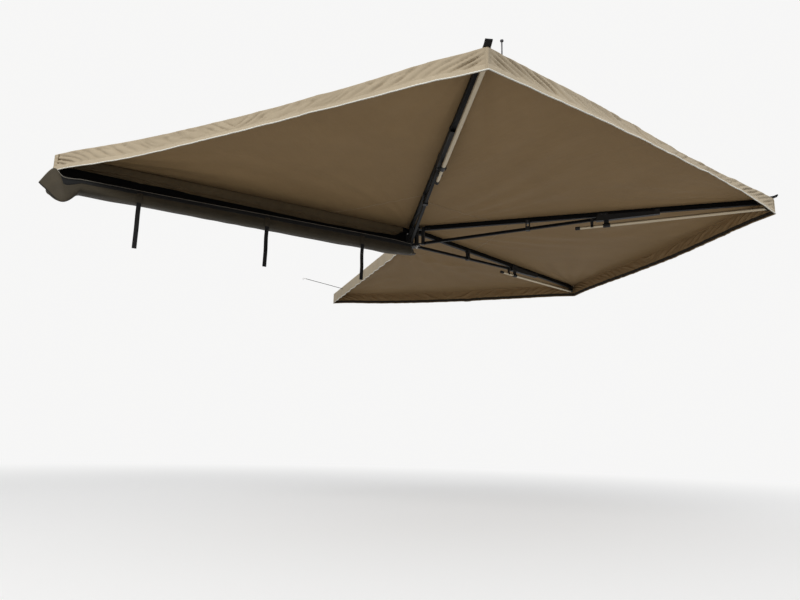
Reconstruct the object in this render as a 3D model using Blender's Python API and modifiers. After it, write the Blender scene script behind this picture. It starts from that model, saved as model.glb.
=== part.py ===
"""Vehicle side awning: a fan of four canopy panels on three swinging arms round one hub pin.

Metres, +Z up. The origin is on the seat of the middle rack bracket. +X runs along the back plate
towards the hub, +Y towards the rack. The awning stands open, with its legs stowed.
"""

from math import asin, atan2, cos, degrees, pi, radians, sin, tan

import bmesh
import bpy
from mathutils import Matrix, Vector

# Overall sizes
ARM_REACH = 2.50  # hub pin to the canopy's corners
REAR_REACH = ARM_REACH + 0.227  # hub pin to the free rear corner
ROOT_REACH = ARM_REACH + 0.052  # hub pin to the front corner at the back plate
ARM_STEP = 64.78  # degrees from one open arm to the next
REAR_STEP = 63.64  # degrees from the last arm to the free rear edge
ARM_SPACING = 0.050  # side by side distance of the folded arms
TIP_DROP = 0.022  # fall of the canopy from hub to corner
SLOPE = atan2(TIP_DROP, ARM_REACH)

# Clearances
SEAT_GAP = 0.0003  # between pieces that touch
SLIDE_GAP = 0.0004  # between a beam or brace and what wraps it
PIN_GAP = 0.00035  # round the hub pin and the leg bolts

# Arm beam and its sail track
BEAM_WIDTH = 0.028
BEAM_HEIGHT = 0.026
BEAM_WALL = 0.002
BEAM_CHAMFER = 0.002
BEAM_Z = -0.030  # middle of the box section below the canopy's top
TRACK_WIDTH = 0.012
TRACK_HEIGHT = 0.011
TRACK_BORE = 0.003
TRACK_SLOT = 0.0025
TRACK_DEPTH = 0.0055
BEAM_START = 0.0655
BEAM_END = ARM_REACH - 0.060
BEAM_TOP = BEAM_Z + BEAM_HEIGHT / 2
BEAM_BOTTOM = BEAM_Z - BEAM_HEIGHT / 2

# Lower brace
BRACE_SIZE = 0.020
BRACE_WALL = 0.002
BRACE_START = 0.0665
BRACE_START_Z = -0.146
BRACE_END = BEAM_END - 1.010
BRACE_END_Z = -0.054

# Hub
PIN_RADIUS = 0.006
PIN_HEAD_RADIUS = PIN_RADIUS + 0.005
PIN_HEAD_HEIGHT = 0.006
PIN_TAIL = 0.0085
LUG_RADIUS = PIN_RADIUS + 0.009
LUG_THICK = 0.006
LUG_GAP = 0.0005
PLATE_THICK = 0.006
PLATE_RADIUS = 0.028
PLATE_TOP = -0.016
LOWER_LUG_TOP = -0.140  # top of the highest lower lug
POST_START = 0.042
POST_END = 0.064
POST_TOP = -0.017
POST_BOTTOM = -0.160
SPIGOT_END = 0.120
WASHER_RADIUS = PIN_RADIUS + 0.006
WASHER_THICK = 0.002
NUT_FLATS = 3 * PIN_RADIUS
NUT_HEIGHT = 0.0088

# Back plate, root beam and rack brackets
PLATE_FRONT = 0.098  # front face of the back plate behind the pin
PLATE_DEPTH = 0.020
PLATE_HIGH = -0.012
PLATE_LOW = -0.152
PLATE_WALL = 0.003
PLATE_START = 0.007 - ROOT_REACH
PLATE_END = 0.035
TRACK_BLOCK = 0.014
SLOT_LEVELS = (-0.047, -0.112)  # middles of the two bolt slots
SLOT_HALF_HOUSING = 0.017
SLOT_HALF_CAVITY = 0.014
SLOT_HALF_MOUTH = 0.0055
SLOT_FLOOR = 0.006
SLOT_LIP = 0.003
CAP_THICK = 0.003
ROOT_BEAM_END = -PLATE_START - 0.030
ROOT_BEAM_START = 0.050
BRACKET_PLACES = {"front": -2.20, "middle": -1.27, "rear": -0.34}
BRACKET_WIDTH = 0.060
BRACKET_THICK = 0.005
BRACKET_TOP = -0.025
BRACKET_SEAT = -0.140
BRACKET_REACH = 0.0767  # length of the leg that lies on the rack
BRACKET_SLOT = (0.009, 0.030)
BRACKET_SLOT_SPACING = 0.036
BOLT_HOLE = 0.0043
HUB_BOLT_PLACES = (-0.030, 0.014)

# Spacer between beam and brace, and the saddle that joins them
SPACER_PLACES = {"b": 0.80, "c": 0.87, "d": 0.71}
SPACER_LENGTH = 0.032
SPACER_WALL = 0.0026
SADDLE_START = BRACE_END - 0.070
SADDLE_END = BRACE_END + 0.360
SADDLE_WALL = 0.0025
SADDLE_BLOCK_END = BRACE_END - 0.015

# Tip fitting, leg bolt and leg clips
TIP_START = BEAM_END + 0.0005
TIP_END = ARM_REACH - 0.022
TIP_FLANGE = 0.0035
LEG_PIVOT = BEAM_END + 0.020
LEG_PIVOT_Z = -0.068
LEG_OFFSET = 0.009  # leg axis beside the beam's middle
EAR_THICK = 0.0033
EAR_RADIUS = 0.017
EAR_GAP = 0.0012  # beside the leg's eye
LEG_BOLT_RADIUS = 0.004
LEG_BOLT_HEAD = 0.0026  # low, because the folded arms lie side by side
LEG_CLIP_PLACE = BRACE_END - 0.100
LEG_CLIP_LENGTH = 0.020
HANGER_PLACE = BRACE_END
HANGER_LENGTH = 0.034
CLIP_WALL = 0.002

# Pin for a guy line beside the first arm: where it stands along and beside the arm, and its height
GUY_PIN_PLACE = (ARM_REACH - 0.079, 0.043)
GUY_PIN_TOP = 0.082

# Legs
LEG_STOW_DROP = 2.12  # degrees that the stowed leg falls towards the hub
OUTER_RADIUS = 0.0125
OUTER_WALL = 0.0018
OUTER_END = 1.030
INNER_RADIUS = OUTER_RADIUS - OUTER_WALL - 0.0007
INNER_WALL = 0.0015
INNER_START = 0.080
INNER_END = 1.240
EYE_WIDTH = 2 * OUTER_RADIUS - 0.001
EYE_RADIUS = OUTER_RADIUS - 0.0004
COLLAR_START = OUTER_END - 0.025
COLLAR_LENGTH = 0.050
COLLAR_RADIUS = OUTER_RADIUS + 0.0027
COLLAR_FLUTES = 8
FOOT_LENGTH = 0.035

# Canopy
CLOTH_THICK = 0.0025
CLOTH_DEPTH = 0.00425  # middle of the cloth below the canopy's top line
SEAM_GAP = 0.0013  # from the seam's line to each panel
CANOPY_START = 0.035
ROOT_HEM = 0.102  # where the cloth meets the back plate
CORNER_OFFSETS = {"b": -0.040, "c": 0.0, "d": 0.040}  # the cloth's corners beside the arms' lines
VALANCE = 0.112
REAR_HEM_START = 0.16

# Each panel's hem: how far it curves in, how far its valance swings out, and, at eight equal steps from
# its first side to its second, how far it sags and how deep the valance hangs
HEM_IN = {"ab": 0.030, "bc": 0.008, "cd": 0.030, "de": 0.020}
VALANCE_SWING = {"ab": 0.010, "bc": 0.045, "cd": 0.0, "de": 0.0}
HEM_SAG = {
    "ab": (0, 0.013, 0.021, 0.025, 0.024, 0.020, 0.013, 0.006, 0),
    "bc": (0, 0, -0.004, -0.001, 0.007, 0.013, 0.012, 0.006, 0),
    "cd": (0, 0.008, 0.022, 0.032, 0.030, 0.025, 0.015, 0.006, 0),
    "de": (0, 0.008, 0.016, 0.022, 0.027, 0.028, 0.024, 0.014, 0),
}
VALANCE_FALL = {
    "ab": (0.108, 0.111, 0.110, 0.103, 0.097, 0.095, 0.096, 0.100, VALANCE),
    "bc": (0.110, 0.105, 0.105, 0.101, 0.093, 0.084, 0.081, 0.091, VALANCE),
    "cd": (VALANCE,) * 9,
    "de": (VALANCE,) * 9,
}
SAG_EASE = 0.6  # share of the spread over which the sag grows beside an arm

# Travel bag
BAG_THICK = 0.0025
BAG_STATIONS = (
    (-2.400, ((0.1045, -0.1525), (0.098, -0.226), (0.040, -0.253), (-0.034, -0.245), (-0.030, -0.175))),
    (-0.230, ((0.1045, -0.1525), (0.098, -0.226), (0.040, -0.254), (-0.034, -0.246), (-0.030, -0.160))),
    (-0.075, ((0.1045, -0.1525), (0.099, -0.218), (0.042, -0.245), (-0.031, -0.238), (-0.029, -0.168))),
    (-0.030, ((0.1045, -0.1525), (0.100, -0.212), (0.050, -0.238), (0.000, -0.230), (0.010, -0.198))),
    (0.020, ((0.1045, -0.1535), (0.102, -0.200), (0.075, -0.220), (0.040, -0.214), (0.080, -0.194))),
)
# The open front end flares out to the seam of its end panel, and the unzipped panel hangs out from there
BAG_FLARE = (
    (-2.490, 0.1042, -0.154),
    (-2.500, 0.096, -0.236),
    (-2.480, 0.038, -0.280),
    (-2.450, -0.034, -0.308),
    (-2.497, -0.031, -0.181),
)
BAG_END_SEAM = (
    (-2.548, 0.1035, -0.1575),
    (-2.570, 0.092, -0.236),
    (-2.545, 0.035, -0.292),
    (-2.485, -0.028, -0.322),
    (-2.556, -0.028, -0.138),
)
BAG_END_EDGE = (
    (-2.585, 0.1030, -0.165),
    (-2.574, 0.085, -0.221),
    (-2.550, 0.045, -0.265),
    (-2.522, -0.004, -0.307),
    (-2.621, 0.030, -0.220),
)
BAG_MOUTH_COLUMNS = 8
BAG_ROWS = 12
BAG_STRAPS = {"front": (-2.07, -0.546), "middle": (-1.24, -0.532), "rear": (-0.50, -0.516)}
STRAP_WIDTH = 0.028
STRAP_THICK = 0.002

# Tie strap of the free rear edge, in the rear edge's frame
TIE_RADIUS = 0.003
TIE_START = (2.297, 0.0013, -0.030)
TIE_HEADING = 102.02  # degrees from the rear edge
TIE_RISE = 0.050
TIE_LENGTH = 0.450
TIE_POINTS = 26
HOOK_RADIUS = 0.0022
HOOK_BEND = 0.009
FERRULE_RADIUS = 0.0045
FERRULE_LENGTH = 0.014

# Where the hub pin stands from the middle bracket's seat
SEAT_SLOT_MIDDLE = 0.158
HUB_X = -BRACKET_PLACES["middle"]
HUB_Y = -SEAT_SLOT_MIDDLE
CANOPY_Z = -BRACKET_SEAT

for old in list(bpy.data.objects):
    bpy.data.objects.remove(old)
parts = bpy.data.collections.new("vehicle_side_awning")
cutters = bpy.data.collections.new("cutters")
bpy.context.scene.collection.children.link(parts)
bpy.context.scene.collection.children.link(cutters)


def material(name, colour, roughness, metallic=0.0):
    made = bpy.data.materials.new(name)
    made.use_nodes = True
    shader = made.node_tree.nodes["Principled BSDF"]
    shader.inputs["Base Color"].default_value = (*colour, 1)
    shader.inputs["Roughness"].default_value = roughness
    shader.inputs["Metallic"].default_value = metallic
    return made


CANVAS = material("ripstop canvas", (0.30, 0.23, 0.15), 0.85)
BLACK_METAL = material("black anodised aluminium", (0.02, 0.02, 0.02), 0.4, 1.0)
SATIN_ALUMINIUM = material("satin aluminium", (0.55, 0.55, 0.56), 0.35, 1.0)
STEEL = material("zinc plated steel", (0.60, 0.60, 0.62), 0.3, 1.0)
BLACK_STEEL = material("black painted steel", (0.02, 0.02, 0.02), 0.5)
MOULDED = material("black moulded nylon", (0.02, 0.02, 0.02), 0.45)
RUBBER = material("black rubber", (0.015, 0.015, 0.015), 0.8)
BAG_CLOTH = material("coated bag cloth", (0.10, 0.08, 0.06), 0.6)
WEBBING = material("black webbing", (0.03, 0.03, 0.03), 0.9)


def frame(name, parent=None, location=(0, 0, 0), rotation=(0, 0, 0)):
    """An empty that carries pieces, with its origin on the joint that it turns or slides on."""
    empty = bpy.data.objects.new(name, None)
    parts.objects.link(empty)
    empty.parent = parent
    empty.location = location
    empty.rotation_euler = rotation
    empty.empty_display_size = 0.1
    return empty


def piece(name, obj, finish, parent):
    """A finished sub-part: one object with its name, its material and its carrier."""
    obj.name = name
    obj.data.name = name
    obj.data.materials.clear()
    obj.data.materials.append(finish)
    cutters.objects.unlink(obj)
    parts.objects.link(obj)
    obj.hide_render = False
    obj.display_type = "TEXTURED"
    obj.parent = parent
    return obj


def shape(mesh):
    """A shape starts among the cutters, and piece() moves the finished ones out."""
    mesh.shade_smooth()
    mesh.set_sharp_from_angle(angle=radians(35))
    obj = bpy.data.objects.new("shape", mesh)
    cutters.objects.link(obj)
    obj.hide_render = True
    obj.display_type = "WIRE"
    return obj


def from_curve(curve):
    """The curve as a mesh with its caps welded."""
    source = bpy.data.objects.new("outline", curve)
    bpy.context.scene.collection.objects.link(source)
    evaluated = source.evaluated_get(bpy.context.evaluated_depsgraph_get())
    mesh = bpy.data.meshes.new_from_object(evaluated)
    bpy.data.objects.remove(source)
    bpy.data.curves.remove(curve)
    welded = bmesh.new()
    welded.from_mesh(mesh)
    bmesh.ops.remove_doubles(welded, verts=welded.verts, dist=1e-6)
    bmesh.ops.recalc_face_normals(welded, faces=welded.faces)
    welded.to_mesh(mesh)
    welded.free()
    return shape(mesh)


TURNS = {
    "x": Matrix(((0, 0, 1, 0), (1, 0, 0, 0), (0, 1, 0, 0), (0, 0, 0, 1))),
    "y": Matrix(((1, 0, 0, 0), (0, 0, -1, 0), (0, 1, 0, 0), (0, 0, 0, 1))),
    "z": Matrix.Identity(4),
}


def prism(axis, outline, low, high, holes=()):
    """A flat outline between two levels of an axis: (y, z) points for x, (x, z) for y, (x, y) for z."""
    curve = bpy.data.curves.new("outline", "CURVE")
    curve.dimensions = "2D"
    curve.fill_mode = "BOTH"
    curve.extrude = (high - low) / 2
    for loop in (outline, *holes):
        spline = curve.splines.new("POLY")
        spline.points.add(len(loop) - 1)
        for point, place in zip(spline.points, loop):
            point.co = (*place, 0, 1)
        spline.use_cyclic_u = True
    obj = from_curve(curve)
    middle = (low + high) / 2 * (-1 if axis == "y" else 1)
    obj.data.transform(TURNS[axis] @ Matrix.Translation((0, 0, middle)))
    return obj


def block(low, high):
    mesh = bpy.data.meshes.new("block")
    cube = bmesh.new()
    bmesh.ops.create_cube(cube, size=1)
    size = Vector(high) - Vector(low)
    middle = (Vector(high) + Vector(low)) / 2
    bmesh.ops.scale(cube, vec=size, verts=cube.verts)
    bmesh.ops.translate(cube, vec=middle, verts=cube.verts)
    cube.to_mesh(mesh)
    cube.free()
    return shape(mesh)


def arc(centre, radius, start, end, steps):
    """Points from one angle to another, in degrees."""
    angles = (radians(start + (end - start) * i / steps) for i in range(steps + 1))
    return [(centre[0] + radius * cos(a), centre[1] + radius * sin(a)) for a in angles]


def circle(centre, radius, steps=24):
    return arc(centre, radius, 0, 360 - 360 / steps, steps - 1)


def box_outline(low, high):
    return [low, (high[0], low[1]), high, (low[0], high[1])]


def rod(axis, centre, radius, low, high, steps=24):
    return prism(axis, circle(centre, radius, steps), low, high)


def turned(profile, steps=32):
    """A profile of (radius, z) points turned about Z, run down its outer side."""
    mesh = bpy.data.meshes.new("turned")
    mesh.from_pydata([(r, 0, z) for r, z in profile], [(i, i + 1) for i in range(len(profile) - 1)], [])
    obj = bpy.data.objects.new("turned", mesh)
    cutters.objects.link(obj)
    obj.hide_render = True
    obj.display_type = "WIRE"
    screw = obj.modifiers.new("turn", "SCREW")
    screw.steps = steps
    screw.render_steps = steps
    screw.use_merge_vertices = True
    screw.merge_threshold = 0.00001
    screw.use_smooth_shade = False
    return obj


def tube(points, radius, resolution=3):
    """A round wire or cord along a list of points."""
    curve = bpy.data.curves.new("wire", "CURVE")
    curve.dimensions = "3D"
    curve.bevel_depth = radius
    curve.bevel_resolution = resolution
    curve.use_fill_caps = True
    spline = curve.splines.new("POLY")
    spline.points.add(len(points) - 1)
    for point, place in zip(spline.points, points):
        point.co = (*place, 1)
    return from_curve(curve)


def sheet(columns, rows, place, thickness, keep=None):
    """A cloth: a grid whose (u, v) from 0 to 1 are placed by a formula, with a wall's thickness."""
    mesh = bpy.data.meshes.new("sheet")
    grid = bmesh.new()
    bmesh.ops.create_grid(grid, x_segments=columns, y_segments=rows, size=0.5)
    if keep:
        middles = {face: face.calc_center_median() for face in grid.faces}
        dropped = [face for face, m in middles.items() if not keep(m.x + 0.5, m.y + 0.5)]
        bmesh.ops.delete(grid, geom=dropped, context="FACES")
    for vert in grid.verts:
        vert.co = place(vert.co.x + 0.5, vert.co.y + 0.5)
    grid.to_mesh(mesh)
    grid.free()
    obj = shape(mesh)
    solid = obj.modifiers.new("wall", "SOLIDIFY")
    solid.thickness = thickness
    solid.offset = 0
    return obj


def boolean(obj, operation, others):
    for other in others:
        step = obj.modifiers.new(operation.lower(), "BOOLEAN")
        step.operation = operation
        step.object = other
        other.parent = obj
    return obj


def join(obj, *others):
    return boolean(obj, "UNION", others)


def cut(obj, *others):
    return boolean(obj, "DIFFERENCE", others)


def turn_mesh(obj, matrix):
    obj.data.transform(matrix)
    return obj


def hull(points):
    """The convex outline round a set of flat points, anticlockwise."""

    def chain(ordered):
        kept = []
        for x, y in ordered:
            while len(kept) > 1:
                (ax, ay), (bx, by) = kept[-2:]
                if (bx - ax) * (y - ay) > (by - ay) * (x - ax):
                    break
                kept.pop()
            kept.append((x, y))
        return kept[:-1]

    ordered = sorted(points)
    return chain(ordered) + chain(reversed(ordered))


def keyhole(middle, mouth, side):
    """A sail track's bore and slot, from lip to lip. side is 1 for a mouth that faces up, or -1."""
    bore = mouth - side * TRACK_DEPTH
    lip = degrees(asin(TRACK_SLOT / 2 / TRACK_BORE))
    round_part = arc((middle, 0), TRACK_BORE, 90 + lip, 450 - lip, 8)
    inside = [(a, bore + side * b) for a, b in round_part]
    return [(middle - TRACK_SLOT / 2, mouth), *inside, (middle + TRACK_SLOT / 2, mouth)]


# Frames: the hub pin's axis, the root line, the arms on it and the free rear edge
awning = frame("awning", location=(HUB_X, HUB_Y, CANOPY_Z))
root_line = frame("root_line", awning, rotation=(0, 0, pi))
arms = {}
slopes = {}
carrier = root_line
for letter in "bcd":
    carrier = frame(f"arm_{letter}", carrier, rotation=(0, 0, radians(ARM_STEP)))
    arms[letter] = carrier
    slopes[letter] = frame(f"arm_{letter}_slope", carrier, rotation=(0, SLOPE, 0))
rear_edge = frame("rear_edge", arms["d"], rotation=(0, 0, radians(REAR_STEP)))
OFFSETS = {"b": -ARM_SPACING, "c": 0.0, "d": ARM_SPACING}
ROOT_OFFSET = -(PLATE_FRONT - SEAT_GAP - BEAM_WIDTH / 2)


def beam(offset, start, end):
    """The box section with the sail track on top."""
    half, flat = BEAM_WIDTH / 2, BEAM_WIDTH / 2 - BEAM_CHAMFER
    mouth = BEAM_TOP + TRACK_HEIGHT
    left = [(-TRACK_WIDTH / 2, BEAM_TOP), (-TRACK_WIDTH / 2, mouth)]
    right = [(TRACK_WIDTH / 2, mouth), (TRACK_WIDTH / 2, BEAM_TOP)]
    top = [(-half, BEAM_TOP - BEAM_CHAMFER), (-flat, BEAM_TOP), *left, *keyhole(0, mouth, 1), *right]
    top += [(flat, BEAM_TOP), (half, BEAM_TOP - BEAM_CHAMFER)]
    bottom = [(half, BEAM_BOTTOM + BEAM_CHAMFER), (flat, BEAM_BOTTOM)]
    bottom += [(-flat, BEAM_BOTTOM), (-half, BEAM_BOTTOM + BEAM_CHAMFER)]
    inner = half - BEAM_WALL
    hollow = box_outline((-inner, BEAM_BOTTOM + BEAM_WALL), (inner, BEAM_TOP - BEAM_WALL))
    shifted = [[(y + offset, z) for y, z in loop] for loop in (top + bottom, hollow)]
    return prism("x", shifted[0], start, end, shifted[1:])


def seam_offset(letter, place):
    """Where two panels meet above an arm: on its line at the hub, and at the cloth's corner at its end."""
    along = (place - CANOPY_START) / (ARM_REACH - CANOPY_START)
    return OFFSETS[letter] + (CORNER_OFFSETS[letter] - OFFSETS[letter]) * along**4


BRACE_SLOPE = atan2(BRACE_END_Z - BRACE_START_Z, BRACE_END - BRACE_START)


def along_brace(offset):
    """Places a shape that is drawn along +X from the brace's lower end."""
    return Matrix.Translation((BRACE_START, offset, BRACE_START_Z)) @ Matrix.Rotation(-BRACE_SLOPE, 4, "Y")


def brace_z(place):
    return BRACE_START_Z + (place - BRACE_START) * tan(BRACE_SLOPE)


def brace_box(offset, half, start, end):
    """A box round the brace's line, between two places along the arm."""
    low = (start - BRACE_START) / cos(BRACE_SLOPE)
    high = (end - BRACE_START) / cos(BRACE_SLOPE)
    return turn_mesh(block((low, -half, -half), (high, half, half)), along_brace(offset))


def brace(offset):
    half = BRACE_SIZE / 2
    inner = half - BRACE_WALL
    length = (BRACE_END - BRACE_START) / cos(BRACE_SLOPE)
    hollow = box_outline((-inner, -inner), (inner, inner))
    bar = prism("x", box_outline((-half, -half), (half, half)), 0, length, [hollow])
    return turn_mesh(bar, along_brace(offset))


def lug_levels(letter):
    """The top of an arm's upper and of its lower lug: upper ones step down from b to d, lower ones up."""
    pitch = LUG_THICK + LUG_GAP
    place = "bcd".index(letter)
    return PLATE_TOP - PLATE_THICK - LUG_GAP - place * pitch, LOWER_LUG_TOP - (2 - place) * pitch


def knuckle(letter):
    """The post with two lugs round the hub pin and a spigot each for beam and brace."""
    offset = OFFSETS[letter]
    half = BEAM_WIDTH / 2
    post = block((POST_START, offset - half, POST_BOTTOM), (POST_END, offset + half, POST_TOP))
    inset, narrow = POST_START + 0.003, half - 0.001
    root = [(inset, offset + narrow), (inset, offset - narrow)]
    lug = hull([*circle((0, 0), LUG_RADIUS, 30), *root])
    bore = circle((0, 0), PIN_RADIUS + PIN_GAP, 28)
    lugs = [prism("z", lug, top - LUG_THICK, top, [bore]) for top in lug_levels(letter)]
    tilt = Matrix.Rotation(SLOPE, 4, "Y")
    wide = half - BEAM_WALL - 0.0005
    tall = BEAM_HEIGHT / 2 - BEAM_WALL - 0.001
    rooted = POST_END - 0.006
    upper = block((rooted, offset - wide, BEAM_Z - tall), (SPIGOT_END, offset + wide, BEAM_Z + tall))
    lower = brace_box(offset, BRACE_SIZE / 2 - BRACE_WALL - 0.0006, rooted, SPIGOT_END)
    spigots = [turn_mesh(spigot, tilt) for spigot in (upper, lower)]
    return join(post, *lugs, *spigots)


def spacer(letter):
    """The post that ties beam and brace: a slot for the beam, a tunnel for the brace, a window between."""
    offset, middle = OFFSETS[letter], SPACER_PLACES[letter]
    half = BEAM_WIDTH / 2 + SLIDE_GAP
    wide = half + SPACER_WALL
    tunnel = BRACE_SIZE / 2 + SLIDE_GAP
    start, end = middle - SPACER_LENGTH / 2, middle + SPACER_LENGTH / 2
    low = brace_z(start) - tunnel - SPACER_WALL
    body = block((start, offset - wide, low), (end, offset + wide, BEAM_Z + 0.004))
    clear = 0.01
    slot_floor = BEAM_BOTTOM - SLIDE_GAP
    beam_slot = block((start - clear, offset - half, slot_floor), (end + clear, offset + half, 0))
    window_low = brace_z(end) + tunnel + 0.005
    window_high = BEAM_BOTTOM - 0.006
    inner = SPACER_LENGTH / 2 - 0.007
    waist, beyond = 0.0105, wide + clear
    window = block(
        (middle - inner, offset - beyond, window_low),
        (middle + inner, offset + beyond, window_high),
    )
    sides = [
        block((start - clear, offset + near, window_low), (end + clear, offset + far, window_high))
        for near, far in ((-beyond, -waist), (waist, beyond))
    ]
    return cut(body, beam_slot, brace_box(offset, tunnel, start - clear, end + clear), window, *sides)


def saddle(letter):
    """The channel under the beam that holds the brace's upper end, with the hanger for the leg's collar."""
    offset = OFFSETS[letter]
    half = BEAM_WIDTH / 2 + SLIDE_GAP
    wide = half + SADDLE_WALL
    side_top, tab_top = BEAM_Z, BEAM_TOP - 0.001
    floor_start, floor_end = -0.0748, -0.056
    outline = [
        (SADDLE_START, floor_start),
        (SADDLE_END, floor_end),
        (SADDLE_END, tab_top),
        (SADDLE_END - 0.030, tab_top),
        (SADDLE_END - 0.036, side_top),
        (SADDLE_START + 0.086, side_top),
        (SADDLE_START + 0.080, tab_top),
        (SADDLE_START + 0.020, tab_top),
        (SADDLE_START, side_top - 0.012),
    ]
    body = prism("y", outline, offset - wide, offset + wide)
    fall = (floor_end - floor_start) / (SADDLE_END - SADDLE_START)
    floor = floor_start + SADDLE_WALL + fall * (SADDLE_BLOCK_END - SADDLE_START)
    clear = 0.01
    channel = [
        (SADDLE_START - clear, 0),
        (SADDLE_START - clear, BEAM_BOTTOM - SLIDE_GAP),
        (SADDLE_BLOCK_END, BEAM_BOTTOM - SLIDE_GAP),
        (SADDLE_BLOCK_END, floor),
        (SADDLE_END + clear, floor_end + SADDLE_WALL + fall * clear),
        (SADDLE_END + clear, 0),
    ]
    inside = prism("y", channel, offset - half, offset + half)
    tunnel = brace_box(offset, BRACE_SIZE / 2 + SLIDE_GAP, SADDLE_START - clear, BRACE_END + 0.001)
    radius = COLLAR_RADIUS + 0.0008
    centre = (offset + LEG_OFFSET, leg_z(HANGER_PLACE))
    fork = leg_fork(centre, radius, HANGER_PLACE, HANGER_LENGTH, 0.010)
    stem_low = centre[1] + radius + CLIP_WALL / 2
    start, end = HANGER_PLACE - HANGER_LENGTH / 2, HANGER_PLACE + HANGER_LENGTH / 2
    stem_top = floor_start + fall * (start - SADDLE_START) + 0.0015
    stem = block((start, offset, stem_low), (end, offset + half - 0.001, stem_top))
    return cut(join(body, fork, stem), inside, tunnel)


def leg_z(place):
    """Height of the stowed leg's axis at a place along the arm."""
    return LEG_PIVOT_Z - (LEG_PIVOT - place) * tan(radians(LEG_STOW_DROP))


def leg_fork(centre, radius, place, length, prong):
    """A round-topped fork, open downward, that a stowed leg springs into."""
    outer = arc(centre, radius + CLIP_WALL, 0, 180, 16)
    inner = arc(centre, radius, 180, 0, 16)
    low = centre[1] - prong
    left, right = centre[0] - radius, centre[0] + radius
    outline = [(right + CLIP_WALL, low), *outer, (left - CLIP_WALL, low), (left, low), *inner, (right, low)]
    return prism("x", outline, place - length / 2, place + length / 2)


def leg_clip(letter):
    """The clip round the brace with a fork for the leg's inner tube."""
    offset = OFFSETS[letter]
    start, end = LEG_CLIP_PLACE - LEG_CLIP_LENGTH / 2, LEG_CLIP_PLACE + LEG_CLIP_LENGTH / 2
    tunnel = BRACE_SIZE / 2 + SLIDE_GAP
    wide = tunnel + CLIP_WALL
    low = brace_z(start) - tunnel - CLIP_WALL
    body = block((start, offset - wide, low), (end, offset + wide, brace_z(LEG_CLIP_PLACE) + 0.007))
    clear = 0.01
    bar = brace_box(offset, tunnel, start - clear, end + clear)
    mouth = block((start - clear, offset - tunnel, brace_z(start)), (end + clear, offset + tunnel, 0))
    centre = (offset + LEG_OFFSET, leg_z(LEG_CLIP_PLACE))
    radius = INNER_RADIUS + 0.0006
    fork = leg_fork(centre, radius, LEG_CLIP_PLACE, LEG_CLIP_LENGTH, 0.007)
    stem = block((start, offset, centre[1] + radius + CLIP_WALL / 2), (end, offset + tunnel, low + 0.0015))
    return cut(join(body, fork, stem), bar, mouth)


def tip(letter):
    """The fitting in the beam's end with the two ears that carry the leg."""
    offset = OFFSETS[letter]
    half = BEAM_WIDTH / 2
    head_low, head_high = BEAM_BOTTOM - 0.002, BEAM_TOP + 0.0005
    head = block((TIP_START, offset - half, head_low), (TIP_END, offset + half, head_high))
    wide = half - BEAM_WALL - 0.0005
    tall = BEAM_HEIGHT / 2 - BEAM_WALL - 0.001
    spigot_start, spigot_end = TIP_START - 0.06, TIP_START + 0.005
    spigot = block((spigot_start, offset - wide, BEAM_Z - tall), (spigot_end, offset + wide, BEAM_Z + tall))
    near = offset + LEG_OFFSET - EYE_WIDTH / 2 - EAR_GAP - EAR_THICK
    far = offset + LEG_OFFSET + EYE_WIDTH / 2 + EAR_GAP + EAR_THICK
    flange_top = BEAM_BOTTOM - SLIDE_GAP
    flange_start, flange_end = LEG_PIVOT - EAR_RADIUS, LEG_PIVOT + EAR_RADIUS
    flange = block((flange_start, near, flange_top - TIP_FLANGE), (flange_end, far, flange_top))
    pivot = (LEG_PIVOT, LEG_PIVOT_Z)
    side = [(flange_end, flange_top - 0.001), (flange_start, flange_top - 0.001)]
    side += arc(pivot, EAR_RADIUS, 180, 360, 16)
    hole = circle(pivot, LEG_BOLT_RADIUS + PIN_GAP)
    ears = [prism("y", side, low, low + EAR_THICK, [hole]) for low in (near, far - EAR_THICK)]
    return join(head, spigot, flange, *ears)


def pivot_bolt(letter):
    """The bolt through the ears: round head, shank and hexagon nut."""
    offset = OFFSETS[letter] + LEG_OFFSET
    pivot = (LEG_PIVOT, LEG_PIVOT_Z)
    reach = EYE_WIDTH / 2 + EAR_GAP + EAR_THICK + SEAT_GAP
    head, round_edge = 0.007, 0.0008
    top = -reach - LEG_BOLT_HEAD
    end = reach + LEG_BOLT_HEAD - round_edge
    profile = [
        (0, top),
        (head - round_edge, top),
        (head, top + round_edge),
        (head, -reach),
        (LEG_BOLT_RADIUS, -reach),
        (LEG_BOLT_RADIUS, end),
        (0, end),
    ]
    bolt = turned([(r, -z) for r, z in profile], 24)
    bolt.matrix_world = Matrix.Translation((pivot[0], offset, pivot[1])) @ Matrix.Rotation(pi / 2, 4, "X")
    nut = prism("z", circle((0, 0), head + 0.0005, 6), -reach - LEG_BOLT_HEAD, -reach)
    return join(bolt, nut)


def corner_tab(letter):
    """The folded webbing loop for a guy line, sewn on the canopy's corner."""
    offset = CORNER_OFFSETS[letter]
    low, thick = -0.0025, 0.0022
    start, bend, end = ARM_REACH - 0.052, ARM_REACH, ARM_REACH + 0.022
    rise = (end - bend) * tan(radians(22))
    round_radius = 0.005
    centre = (end, low + rise + round_radius)
    outer = [(start, low), (bend, low), *arc(centre, round_radius, -68, 112, 10)]
    outer += [(bend, low + 0.0105), (start, low + 0.0055)]
    inner = arc(centre, round_radius - thick, -68, 112, 10)
    inner = [(bend + 0.004, low + thick + 0.0016), *inner, (bend + 0.004, low + 0.0092)]
    return prism("y", outer, offset - 0.0165, offset + 0.0165, [inner])


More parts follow.
